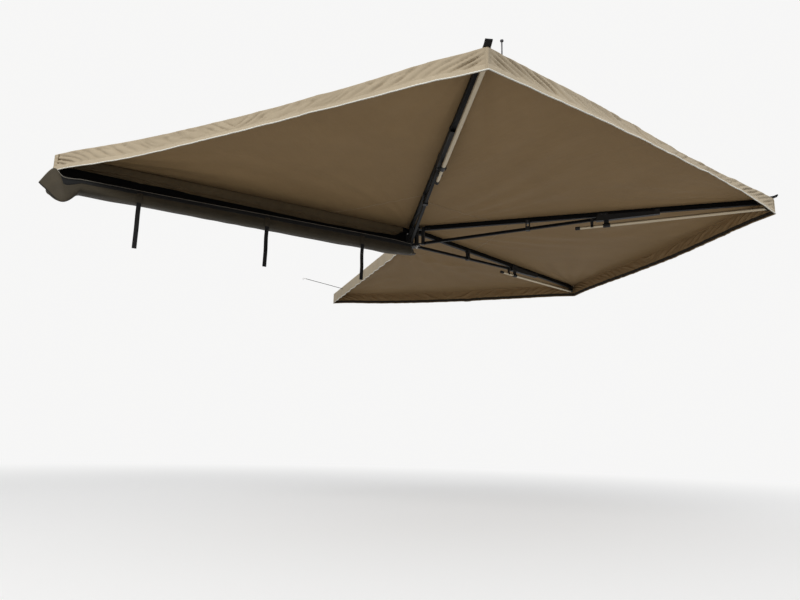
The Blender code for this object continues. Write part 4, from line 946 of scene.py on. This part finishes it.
# %% [markdown]
# Where the panels meet round the pin, a small round cover of canvas is sewn on and keeps the rain out.
# It rises over the top of the pin, whose height is read from the CAD model.

# %% Hub cover
COVER_RADIUS = 0.106
pin_top = max(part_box(node)[1][2] for node in ("hub_pin", "hub_bracket")) - HUB[2]
crown = max(pin_top, -0.0010) + 0.0014
halves = []
for start in (0.0, pi):
    half_turn = np.linspace(start, start + pi, 37)
    angle, radius = np.meshgrid(half_turn, np.linspace(0, COVER_RADIUS, 15))
    slope = np.clip((radius - 0.016) / (COVER_RADIUS - 0.016), 0, 1)
    height = crown + (-0.0016 - crown) * slope + 0.0004 * slope * np.sin(9 * angle)
    halves.append(np.stack([radius * np.cos(angle), radius * np.sin(angle), height], axis=-1) + HUB)
flats = [half[..., :2] - HUB[:2] for half in halves]
cover = cloth("hub_cover_canvas", halves, 0.0010, CANVAS_INSIDE, CANVAS_OUTSIDE, flats=flats)
belongs([cover], "root")
pi * (COVER_RADIUS**2 + crown**2)
print("top of the pin and bracket:", round(pin_top, 4))

# %% [markdown]
# Over each arm two panels meet. They are sewn to one strip of tape, and under it runs a keder: a cord in
# a fold of cloth that slides into the beam's sail track and carries the whole canopy.
# At the corner the tape turns down over the valance, which closes the joint there.

# %% Tape and keder on each arm
TAPE_HALF, WELT_HALF = 0.018, 0.010
KEDER_RADIUS = 0.0023
TRACK_MOUTH, TRACK_BORE_Z = -0.006, -0.0115


def ribbon(name, line, side, half, wall, finish, columns=6):
    """A flat band along a line. side is the direction of its width."""
    across = np.linspace(-half, half, columns + 1)
    grid = np.asarray(line, float)[:, None] + np.asarray(side, float) * across[None, :, None]
    return cloth(name, [grid], wall, finish)


def along_arm(letter, length, offset, height):
    """A line along an arm, each of whose values may be one number or an array."""
    return on_arm(letter, np.stack(np.broadcast_arrays(length, offset, height), axis=-1))


def along_root(xs, y, z):
    """A straight line beside the back plate."""
    return np.array([(x, y, z) for x in xs]) + HUB


for letter in "bcd":
    offset, corner = ARM_OFFSET[letter], CORNER_OFFSET[letter]
    beside = sideways(letter)
    top_z = -CLOTH_DEPTH + WALL_HALF + 0.0006
    length = np.linspace(0.062, 2.490, 160)
    flat_line = along_arm(letter, length, seam_offset(letter, length), top_z)
    tape = ribbon(f"arm_{letter}_seam_tape", flat_line, beside, TAPE_HALF, 0.0007, SEAM_TAPE)
    fall = np.linspace(0, 1, 26)
    corner_s = 2.5035 - 0.010 * (1 - np.clip(fall * 6, 0, 1)) ** 2
    corner_z = top_z - 0.111 * fall**1.05
    columns = np.linspace(-WELT_HALF, WELT_HALF, 7)[None]
    welt_s = corner_s[:, None] - np.abs(columns) * 0.62
    welt_points = along_arm(letter, welt_s, corner + columns, corner_z[:, None])
    welt = cloth(f"arm_{letter}_corner_welt", [welt_points], 0.0009, CANVAS_OUTSIDE)
    pieces = [tape, welt]
    for side, word in ((-1, "right"), (1, "left")):
        row = flat_line + beside * side * (TAPE_HALF - 0.004) + (0, 0, 0.0005)
        pieces.append(stitches(f"arm_{letter}_tape_stitches_{word}", row, (0, 0, 1), THREAD))
    keder_s = np.linspace(0.067, 2.438, 60)
    cord_line = along_arm(letter, keder_s, offset, TRACK_BORE_Z)
    pieces.append(round_cord(f"arm_{letter}_keder_cord", cord_line, KEDER_RADIUS, EDGE_BINDING))
    lean = (seam_offset(letter, keder_s) - offset)[None] * np.array((0, 0, 0.15, 1))[:, None]
    web_top = -CLOTH_DEPTH - WALL_HALF - 0.0002
    web_z = np.array((TRACK_BORE_Z + 0.0018, -0.0078, TRACK_MOUTH, web_top))
    web = along_arm(letter, keder_s[None], offset + lean, web_z[:, None])
    pieces.append(cloth(f"arm_{letter}_keder_web", [web], 0.0008, EDGE_BINDING))
    belongs(pieces, f"arm_{letter}")
    print("arm", letter, "tape, welt and keder:", len(pieces), "pieces")

# %% [markdown]
# The canopy's first edge doesn't move. Its cord slides into the sail track along the top of the back
# plate, so it is a straight line.

# %% Keder on the back plate
length = np.linspace(-2.540, 0.030, 120)
web = [(0.094, -0.0030), (0.1025, -0.0031), (0.1048, -0.0045), (0.105, -0.008), (0.105, -0.0155)]
web_grid = np.array([along_root(length, y, z) for y, z in web])
root_pieces = [
    cloth("root_keder_web", [web_grid], 0.0009, EDGE_BINDING),
    round_cord("root_keder_cord", along_root(length, 0.105, -0.0175), KEDER_RADIUS, EDGE_BINDING),
    stitches("root_keder_stitches", along_root(length, 0.097, -0.0026), (0, 0, 1), THREAD),
]

# %% [markdown]
# A skirt of canvas, darkened with painted shade, hangs in front of the root beam and hides it. Below
# the beam it falls back in loose folds. It is thin, because the first arm folds in close beside it.

# %% Root skirt
SKIRT_XS = (-2.535, -2.18, -1.68, -0.64, -0.16, -0.087)
SKIRT_LOW = (-0.080, -0.080, -0.090, -0.100, -0.086, -0.048)
skirt_x = np.linspace(SKIRT_XS[0], SKIRT_XS[-1], 400)
beam_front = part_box("root_beam")[0][1] - HUB[1]
beam_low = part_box("root_beam")[0][2] - HUB[2]
down = np.concatenate([np.zeros(4), np.linspace(0, 1, 15)[1:]])[:, None]
held = np.concatenate([np.linspace(-0.0068, beam_low, 4), np.full(14, beam_low)])[:, None]
skirt_z = held + (np.interp(skirt_x, SKIRT_XS, SKIRT_LOW)[None] - beam_low) * down
skirt_z = skirt_z + 0.003 * down * relief(skirt_x / 0.17, 0.5, 41)[None]
broad = 0.5 + 0.5 * relief(skirt_x[None] / 0.15 + 3 * down, down * 2, 42)
sharp = (1 - np.abs(relief(skirt_x[None] / 0.07 - 2 * down, down * 3, 43))) ** 2
folds = 0.010 * broad + 0.006 * sharp
skirt_y = beam_front - 0.0007 + folds * np.minimum(down * 2.5, 1)
skirt = np.stack(np.broadcast_arrays(skirt_x[None], skirt_y, skirt_z), axis=-1) + HUB
skirt_row = skirt[-2] - (0, 0.0004, 0)
root_pieces += [
    cloth("root_skirt", [skirt], 0.0007, SHADED_SKIRT_CANVAS),
    stitches("root_skirt_stitches", skirt_row, (0, -1, 0), BLACK_THREAD),
]
belongs(root_pieces, "root")
print("root beam front and underside:", round(beam_front, 4), round(beam_low, 4))

# %% [markdown]
# A loop of black webbing is sewn on each corner, for a guy line. It is one band that doubles back on
# itself, so it is drawn as a path seen from the side and given the webbing's width.

# %% Corner loops
LOOP_WALL, LOOP_HALF = 0.0022, 0.0165
BOX_STITCH = 0.003, 0.0042  # length and pitch of the stitches in a sewn box


def loop_path():
    """The band's middle line, as distances along the arm and heights."""
    tip_top, round_radius = -0.0025, 0.0039
    low = tip_top + LOOP_WALL / 2
    centre = (2.522, tip_top + 0.022 * tan(radians(22)) + 0.005)
    path = [(2.448, low), (2.474, low), (2.497, low), (2.504, low + 0.0020)]
    for step in range(13):
        angle = radians(-68 + 180 * step / 12)
        path.append((centre[0] + round_radius * cos(angle), centre[1] + round_radius * sin(angle)))
    path += [(2.510, 0.0110), (2.500, 0.0069), (2.474, 0.0044), (2.448, 0.0019)]
    return path


for letter in "bcd":
    offset = CORNER_OFFSET[letter]
    line = on_arm(letter, np.array([(s, offset, z) for s, z in loop_path()]))
    half, wall = LOOP_HALF - 0.0003, LOOP_WALL - 0.0004
    tab = ribbon(f"arm_{letter}_guy_loop", line, sideways(letter), half, wall, WEBBING, 8)
    bevel = tab.modifiers.new("soft edge", "BEVEL")
    bevel.width, bevel.segments = 0.0006, 2
    bevel.limit_method, bevel.angle_limit = "ANGLE", radians(60)
    apply_all(tab)
    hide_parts(f"arm_{letter}_corner_tab")
    corners = [(2.452, -0.012), (2.490, -0.012), (2.490, 0.012)]
    corners += [(2.452, 0.012), (2.452, -0.012), (2.490, 0.012)]
    box = []
    for (s, n), (end_s, end_n) in zip(corners, corners[1:]):
        for share in np.linspace(0, 1, 9)[:-1]:
            at_s = s + (end_s - s) * share
            stand = np.interp(at_s, (2.448, 2.474, 2.500), (0.0029, 0.0054, 0.0079))
            box.append((at_s, offset + n + (end_n - n) * share, stand))
    rows = on_arm(letter, np.array(box))
    name = f"arm_{letter}_guy_loop_stitches"
    sewing = stitches(name, rows, (0, 0, 1), BLACK_THREAD, *BOX_STITCH)
    belongs((tab, sewing), f"arm_{letter}")
    print("arm", letter, "loop:", round(reach_along(line)[-1], 3), "metres of webbing")

# %% [markdown]
# The travel bag hangs open under the back plate while the awning is out. It is a trough of heavy cloth,
# lofted through a few sections and slack enough to crease. Its front end is unzipped and flares out.

# %% Travel bag
BAG_WALL = 0.0016
# Sections of the bag: a place along it and the y and z of five points, from the plate round to the lip.
BAG_STATIONS = (
    (-2.400, ((0.1045, -0.1525), (0.098, -0.226), (0.040, -0.253), (-0.034, -0.245), (-0.030, -0.175))),
    (-0.230, ((0.1045, -0.1525), (0.098, -0.226), (0.040, -0.254), (-0.034, -0.246), (-0.030, -0.160))),
    (-0.075, ((0.1045, -0.1525), (0.099, -0.218), (0.042, -0.245), (-0.031, -0.238), (-0.029, -0.168))),
    (-0.030, ((0.1045, -0.1525), (0.100, -0.212), (0.050, -0.238), (0.000, -0.230), (0.010, -0.198))),
    (0.020, ((0.1045, -0.1535), (0.102, -0.200), (0.075, -0.220), (0.040, -0.214), (0.080, -0.194))),
)
# The same five points, as x, y and z, on three lines round the loose end, from its free edge inwards.
BAG_END = (
    (
        (-2.585, 0.1030, -0.165), (-2.574, 0.085, -0.221), (-2.550, 0.045, -0.265),
        (-2.522, -0.004, -0.307), (-2.621, 0.030, -0.220),
    ),
    (
        (-2.548, 0.1035, -0.1575), (-2.570, 0.092, -0.236), (-2.545, 0.035, -0.292),
        (-2.485, -0.028, -0.322), (-2.556, -0.028, -0.138),
    ),
    (
        (-2.490, 0.1042, -0.154), (-2.500, 0.096, -0.236), (-2.480, 0.038, -0.280),
        (-2.450, -0.034, -0.308), (-2.497, -0.031, -0.181),
    ),
)
MOUTH_LENGTH = 0.18
OPENING = BAG_STATIONS[0][0]
ZIP_TAPE_END = -2.48


def bag_profile(x):
    """The bag's five section points at a place along it."""
    for (low, first), (high, last) in zip(BAG_STATIONS, BAG_STATIONS[1:]):
        if x <= high:
            break
    step = min(max((x - low) / (high - low), 0), 1)
    step = step * step * (3 - 2 * step)
    return np.array(first) * (1 - step) + np.array(last) * step


def bag_point(x, share):
    """A point of the bag's cloth: x along it, share from the back plate round to the front lip."""
    y, z = through(bag_profile(x), share)
    slack = sin(pi * share) ** 1.5
    crease = 0.5 + 0.5 * sin(x * 9.0 + 4.0 * sin(x * 2.3) + share * 7)
    crease += 0.35 * (0.5 + 0.5 * sin(x * 31.0 + 3.0 * sin(x * 5.1 + 1) - share * 11))
    inward = 0.0045 * slack * crease
    to_centre = np.array((0, 0.035 - y, -0.200 - z))
    return np.array((x, y, z)) + inward * to_centre / np.linalg.norm(to_centre)


def bag_place(x, share):
    """The same in the awning's frame, and on past the bag's opening to the free edge of its loose end."""
    point = bag_point(max(x, OPENING), share)
    if x < OPENING:
        past = (OPENING - x) / MOUTH_LENGTH
        lines = [through(section, share) for section in BAG_END] + [point]
        wave = 0.003 * sin(14 * share), 0.002 * sin(23 * share + 1), 0.002 * sin(31 * share)
        point = through(lines, 1 - past) + np.array(wave) * past
    return point + HUB


shares = np.linspace(0, 1, 57)
stretches = (OPENING - MOUTH_LENGTH, OPENING, 27), (OPENING, -0.24, 131), (-0.23, 0.02, 35)
mouth_xs, long_xs, end_xs = (np.linspace(*stretch) for stretch in stretches)
bag_xs = np.concatenate([mouth_xs[:-1], long_xs, end_xs])
bag_grid = np.array([[bag_place(x, share) for share in shares] for x in bag_xs])
bag = cloth("travel_bag_cloth", [bag_grid], BAG_WALL, BAG_CLOTH)
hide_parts("travel_bag")
# The lip cord's pale grey is a painted highlight along the open bag's edge.
lip_line = spaced(bag_grid[:, -1], 0.012) + (0, 0, 0.0016)
lip = round_cord("travel_bag_lip", lip_line, 0.0018, ZIP_EDGE_HIGHLIGHT, 10)
end_hem = round_cord("travel_bag_end_hem", spaced(bag_grid[0], 0.008), 0.0030, WEBBING, 10)
shares = np.linspace(0.905, 0.992, 7)
zipped = bag_xs[bag_xs > ZIP_TAPE_END]
zip_tape_grid = np.array([[bag_place(x, share) for share in shares] for x in zipped])
zip_tape_grid[..., 1] -= 0.0015
zip_tape = cloth("travel_bag_zip_tape", [zip_tape_grid], 0.0009, WEBBING)
coil_line = spaced(zip_tape_grid[:, -2] - (0, 0.0016, 0), 0.012)
coil = stitches("travel_bag_zip_teeth", coil_line, (0, -1, 0), NYLON, 0.0016, 0.0026, 0.0016)
hem_row = spaced(zip_tape_grid[:, 0] - (0, 0.0004, -0.003), 0.012)
bag_sewing = stitches("travel_bag_zip_stitches", hem_row, (0, -1, 0), BLACK_THREAD)
bag_area = surface_area(bag_grid)
trim = [lip, end_hem, zip_tape, coil, bag_sewing]
belongs([bag, *trim], "root")
print("travel bag:", round(bag_area, 3), "square metres")

# %% [markdown]
# Three black straps close the bag for the drive. Open, they hang straight down from where they are sewn
# on, with a slight curl left by the buckle. The sewn box at the top is real thread.

# %% Bag straps
STRAP_HALF, STRAP_WALL = 0.014, 0.002
SEWN_LENGTH, STRAP_STEP = 0.078, 0.008
for place, x, low in (("front", -2.07, -0.546), ("middle", -1.24, -0.532), ("rear", -0.50, -0.516)):
    path = []
    for share in (0.93, 0.91, 0.89, 0.87, 0.85, 0.83, 0.81, 0.79, 0.78):
        y, z = through(bag_profile(x), share)
        path.append((y - 0.00265, z))
    front = path[0][0]
    free = (0.001, -0.285), (0.004, -0.33), (-0.003, -0.42), (0.003, low)
    ys, zs = np.array([path[-1], *((front + y, z) for y, z in free)]).T
    for z in np.linspace(path[-1][1] - 0.008, low + 0.0005, 18):
        path.append((np.interp(-z, -zs, ys), z))
    line = spaced(np.array([(x, y, z) for y, z in path]) + HUB, STRAP_STEP)
    name, side = f"bag_strap_{place}", (1.0, 0, 0)
    strap = ribbon(f"{name}_webbing", line, side, STRAP_HALF - 0.0002, STRAP_WALL - 0.0004, WEBBING)
    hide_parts(name)
    tip = spaced(line[-4:], 0.004) - (0, 0.0019, 0)
    hem = ribbon(f"{name}_hem", tip, side, STRAP_HALF - 0.0004, 0.0014, WEBBING)
    box = [(-0.011, 0), (0.011, 0), (0.011, 4), (-0.011, 4), (-0.011, 0), (0.011, 4)]
    rows = []
    for (a, i), (b, j) in zip(box, box[1:]):
        for share in np.linspace(0, 1, 8)[:-1]:
            spot = i + (j - i) * share
            at = np.array([np.interp(spot, range(len(line)), line[:, axis]) for axis in range(3)])
            rows.append(at + (a + (b - a) * share, -STRAP_WALL / 2 - 0.0013, 0))
    sewing = stitches(f"{name}_stitches", np.array(rows), (0, -1, 0), BLACK_THREAD, *BOX_STITCH)
    sewn = line[: int(SEWN_LENGTH / STRAP_STEP)] - (0, STRAP_WALL / 2 + 0.0007, 0)
    patch = ribbon(f"{name}_patch", sewn, side, 0.0175, 0.0011, BAG_CLOTH)
    belongs((strap, hem, sewing), "root")
    belongs([patch], "root")
    print(place, "strap:", round(reach_along(line)[-1], 3), "metres")

# %% [markdown]
# A tie cord pulls the free rear edge of the canopy back. Something outside the picture holds it taut,
# so it is one straight line, and it ends in the wire hook that the CAD model already has.

# %% Tie cord
TIE_LENGTH, TIE_RISE, TIE_HEADING = 0.450, 0.050, radians(102.02)
TIE_START = 2.297, 0.0013, -0.030
tie_flat = (TIE_LENGTH**2 - TIE_RISE**2) ** 0.5
tie_way = np.array((tie_flat * cos(TIE_HEADING), tie_flat * sin(TIE_HEADING), TIE_RISE))
tie_points = turned(TIE_START + np.linspace(0, 1, 26)[:, None] * tie_way, AZIMUTH["e"])
tie = round_cord("rear_tie_cord", tie_points, 0.003, WEBBING, 12)
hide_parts("tail_strap")
belongs([tie], "tail")
print("tie cord:", round(reach_along(tie_points)[-1], 3), "metres")

# %% [markdown]
# The fasteners are modelled once each, with the operators one would use by hand, and then copied.
# A bolt starts as a six-sided cylinder whose top is inset and raised for the chamfer. A rivet is the cap
# of a sphere. With no mouse here, faces are picked in code by where they look, and edges by how far they
# rise.

# %% How the fasteners are made
def pick(kind, test):
    """Selects what passes a test on the piece in edit mode."""
    bpy.ops.mesh.select_mode(type=kind)
    bpy.ops.mesh.select_all(action="DESELECT")
    shape = bmesh.from_edit_mesh(bpy.context.edit_object.data)
    for part in {"FACE": shape.faces, "EDGE": shape.edges}[kind]:
        if test(part):
            part.select_set(True)
    shape.select_flush_mode()
    bmesh.update_edit_mesh(bpy.context.edit_object.data)


def hex_bolt():
    """A head that starts 1.5 mm above z = 0, and a washer that lies 2.5 mm below it."""
    bpy.ops.object.select_all(action="DESELECT")
    bpy.ops.mesh.primitive_cylinder_add(vertices=6, radius=0.0066, depth=0.0048, location=(0, 0, 0.0039))
    bpy.ops.object.mode_set(mode="EDIT")
    pick("FACE", lambda face: face.normal.z > 0.9)
    bpy.ops.mesh.inset(thickness=0.0009)
    bpy.ops.transform.translate(value=(0, 0, 0.0005))
    pick("EDGE", lambda edge: abs(edge.verts[0].co.z - edge.verts[1].co.z) > 0.003)
    bpy.ops.mesh.bevel(offset=0.0003, segments=2, affect="EDGES")
    washer_place = (0, 0, -0.0032)  # a location is in the scene's coordinates, in edit mode too
    bpy.ops.mesh.primitive_cylinder_add(vertices=28, radius=0.0086, depth=0.0014, location=washer_place)
    bpy.ops.object.mode_set(mode="OBJECT")
    bolt = bpy.context.object
    bpy.ops.object.transform_apply(location=True, rotation=True, scale=True)
    bpy.ops.object.shade_smooth_by_angle(angle=radians(30))
    return bolt


def rivet():
    """The domed head of a blind rivet. Its flat side lies 1.55 mm above z = 0."""
    bpy.ops.object.select_all(action="DESELECT")
    bpy.ops.mesh.primitive_uv_sphere_add(segments=20, ring_count=12, radius=0.0042)
    bpy.ops.object.mode_set(mode="EDIT")
    bpy.ops.mesh.select_all(action="SELECT")
    bpy.ops.mesh.bisect(plane_co=(0, 0, 0), plane_no=(0, 0, 1), use_fill=True, clear_inner=True)
    bpy.ops.mesh.select_all(action="SELECT")
    bpy.ops.transform.resize(value=(1, 1, 0.26))  # towards the middle of the dome, not towards z = 0
    bpy.ops.mesh.normals_make_consistent(inside=False)
    bpy.ops.object.mode_set(mode="OBJECT")
    bpy.ops.object.shade_smooth_by_angle(angle=radians(40))
    return bpy.context.object


def set_down(model, name, place, towards, finish=BLACK_ZINC, body="root"):
    """Copies a fastener to a place, with its top looking towards a direction."""
    copy = model.copy()
    copy.data = model.data.copy()
    copy.name = copy.data.name = name
    bpy.context.scene.collection.objects.link(copy)
    turn = Vector(towards).to_track_quat("Z", "Y").to_matrix().to_4x4()
    copy.data.transform(Matrix.Translation(place) @ turn)
    copy.data.materials.clear()
    copy.data.materials.append(finish)
    belongs([copy], body)


# %% [markdown]
# Each kind of fastener is modelled once, and every copy gets its own mesh. The places are the bolt slots
# of the brackets, and the sides of the parts that are riveted to the arms.

# %% Bolts and rivets in their places
bolt, rivet_head = hex_bolt(), rivet()
SLOT_HEIGHTS = (-0.047, -0.112)
for i, x in enumerate((-0.030, 0.014)):
    for j, z in enumerate(SLOT_HEIGHTS):
        name, spot = f"hub_bracket_bolt_{i}_{j}", HUB + (x, 0.0915, z)
        # The first bolt is plated zinc where the others are black: a painted highlight, for the one
        # bright glint on the bracket.
        if i + j == 0:
            set_down(bolt, name, spot, (0, -1, 0), ZINC)
        else:
            set_down(bolt, name, spot, (0, -1, 0))
for place, x in (("front", -2.20), ("middle", -1.27), ("rear", -0.34)):
    for j, z in enumerate(SLOT_HEIGHTS):
        set_down(bolt, f"rack_bracket_{place}_bolt_{j}", HUB + (x, 0.1233, z), (0, 1, 0))
for j, z in enumerate(SLOT_HEIGHTS):
    set_down(rivet_head, f"end_cap_screw_{j}", HUB + (-2.5483, 0.1085, z), (-1, 0, 0))
# For each part of an arm: how far its sides stand from the arm's middle, and where along and how high.
RIVETS = {
    "saddle": (0.0169, ((1.400, -0.028), (1.425, -0.028), (1.775, -0.028))),
    "tip": (0.0140, ((2.400, -0.030), (2.428, -0.030))),
    "knuckle": (0.0140, ((0.082, -0.030), (0.106, -0.030))),
    "brace": (0.0100, ((0.090, -0.1444),)),
}
count = 0
for letter, spacer in (("b", 0.80), ("c", 0.87), ("d", 0.71)):
    places = {**RIVETS, "spacer": (0.0170, ((spacer, -0.034),))}
    for part, (stand, spots) in places.items():
        for i, (s, z) in enumerate(spots):
            for side, word in ((-1, "right"), (1, "left")):
                spot = on_arm(letter, (s, ARM_OFFSET[letter] + side * stand, z))
                name = f"arm_{letter}_{part}_rivet_{i}_{word}"
                set_down(rivet_head, name, spot, sideways(letter) * side, body=f"arm_{letter}")
                count += 1
for model in (bolt, rivet_head):
    bpy.data.objects.remove(model)
print(count, "rivets")

# %% [markdown]
# The studio has a pale floor, which fades into an even white surround as it runs away from the awning.
# The canopy shades its own underside, which is lit from below by the floor, as in the photograph. So the
# camera sees a white floor with the awning's soft shadow on it, and what the floor sends up is greyer.

# %% Floor
FLOOR_Z = -2.03
BACKDROP = (0.927, 0.925, 0.922)
bpy.ops.object.select_all(action="DESELECT")
bpy.ops.mesh.primitive_plane_add(size=160, location=(0, 0, FLOOR_Z))
floor = bpy.context.object
floor.name = "studio_floor"
floor_paint = Finish("pale studio floor", 0.6, fixed={"Specular IOR Level": 0.1})
RAYS = "Is Camera Ray", "Is Glossy Ray", "Is Transmission Ray"
rays = [floor_paint.node("LightPath", output=ray) for ray in RAYS]
floor_seen = rays[0].larger(rays[1]).larger(rays[2])
floor_cloud = floor_paint.noise(floor_paint.place(), 0.35, 3.0)
white = floor_paint.mix(floor_cloud, (0.955, 0.955, 0.955), (0.985, 0.985, 0.985))
floor_paint.feed("Base Color", floor_paint.mix(floor_seen, (0.45, 0.45, 0.45), white))
floor_paint.feed("Roughness", 0.5 + floor_cloud * 0.2)
across, along = floor_paint.split(floor_paint.place())
distance = (across * across + along * along) ** 0.5
glow = floor_paint.node("Emission", inputs={"Color": (*BACKDROP, 1), "Strength": 1.0})
painted = Signal(floor_paint, floor_paint.shader.outputs[0])
faded = {0: (0.33 + distance.between(3.0, 9.0) * 0.67) * floor_seen, 1: painted, 2: glow}
surface = floor_paint.node("MixShader", inputs=faded)
floor_output = floor_paint.tree.nodes["Material Output"]
floor_paint.tree.links.new(surface.socket, floor_output.inputs["Surface"])
floor.data.materials.append(floor_paint.made)

# %% [markdown]
# The world lights the awning evenly. Rays that come from the camera or from shiny things see the pale
# backdrop in its place, so that metal mirrors a bright studio.

# %% White surround
world = bpy.data.worlds.new("white surround")
bpy.context.scene.world = world
world.use_nodes = True
world.node_tree.nodes.clear()


def world_node(kind, *sources):
    """A node of the world whose first inputs are fed by the given outputs."""
    node = world.node_tree.nodes.new(f"ShaderNode{kind}")
    for socket, source in zip(node.inputs, sources):
        world.node_tree.links.new(source, socket)
    return node


camera_ray, glossy_ray, clear_ray = (world_node("LightPath").outputs[ray] for ray in RAYS)
either = world_node("Math", camera_ray, glossy_ray)
any_ray = world_node("Math", either.outputs[0], clear_ray)
either.operation = any_ray.operation = "MAXIMUM"
lighting, backdrop = world_node("Background"), world_node("Background")
lighting.inputs["Color"].default_value = (0.98, 0.99, 1.0, 1)
lighting.inputs["Strength"].default_value = 0.5
backdrop.inputs["Color"].default_value = (*BACKDROP, 1)
blend = world_node("MixShader", any_ray.outputs[0], lighting.outputs[0], backdrop.outputs[0])
world_node("OutputWorld", blend.outputs[0])


# %% [markdown]
# Two large round lamps give soft shadows: a warm one from the left, and a weaker, cooler one from the
# right.

# %% Lamps
def softbox(name, place, target, size, power, colour):
    data = bpy.data.lights.new(name, "AREA")
    data.shape, data.size, data.energy, data.color = "DISK", size, power, colour
    lamp = bpy.data.objects.new(name, data)
    lamp.location = place
    lamp.rotation_euler = (Vector(target) - Vector(place)).to_track_quat("-Z", "Y").to_euler()
    bpy.context.scene.collection.objects.link(lamp)


softbox("key softbox", (-8.5, -6.5, 4.5), (0.6, -0.8, 0), 5.0, 780, (1.0, 0.985, 0.96))
softbox("fill softbox", (5.0, -9.0, 3.5), (1.6, -0.5, 0), 5.0, 240, (0.97, 0.985, 1.0))
bpy.context.scene.view_settings.view_transform = "Standard"
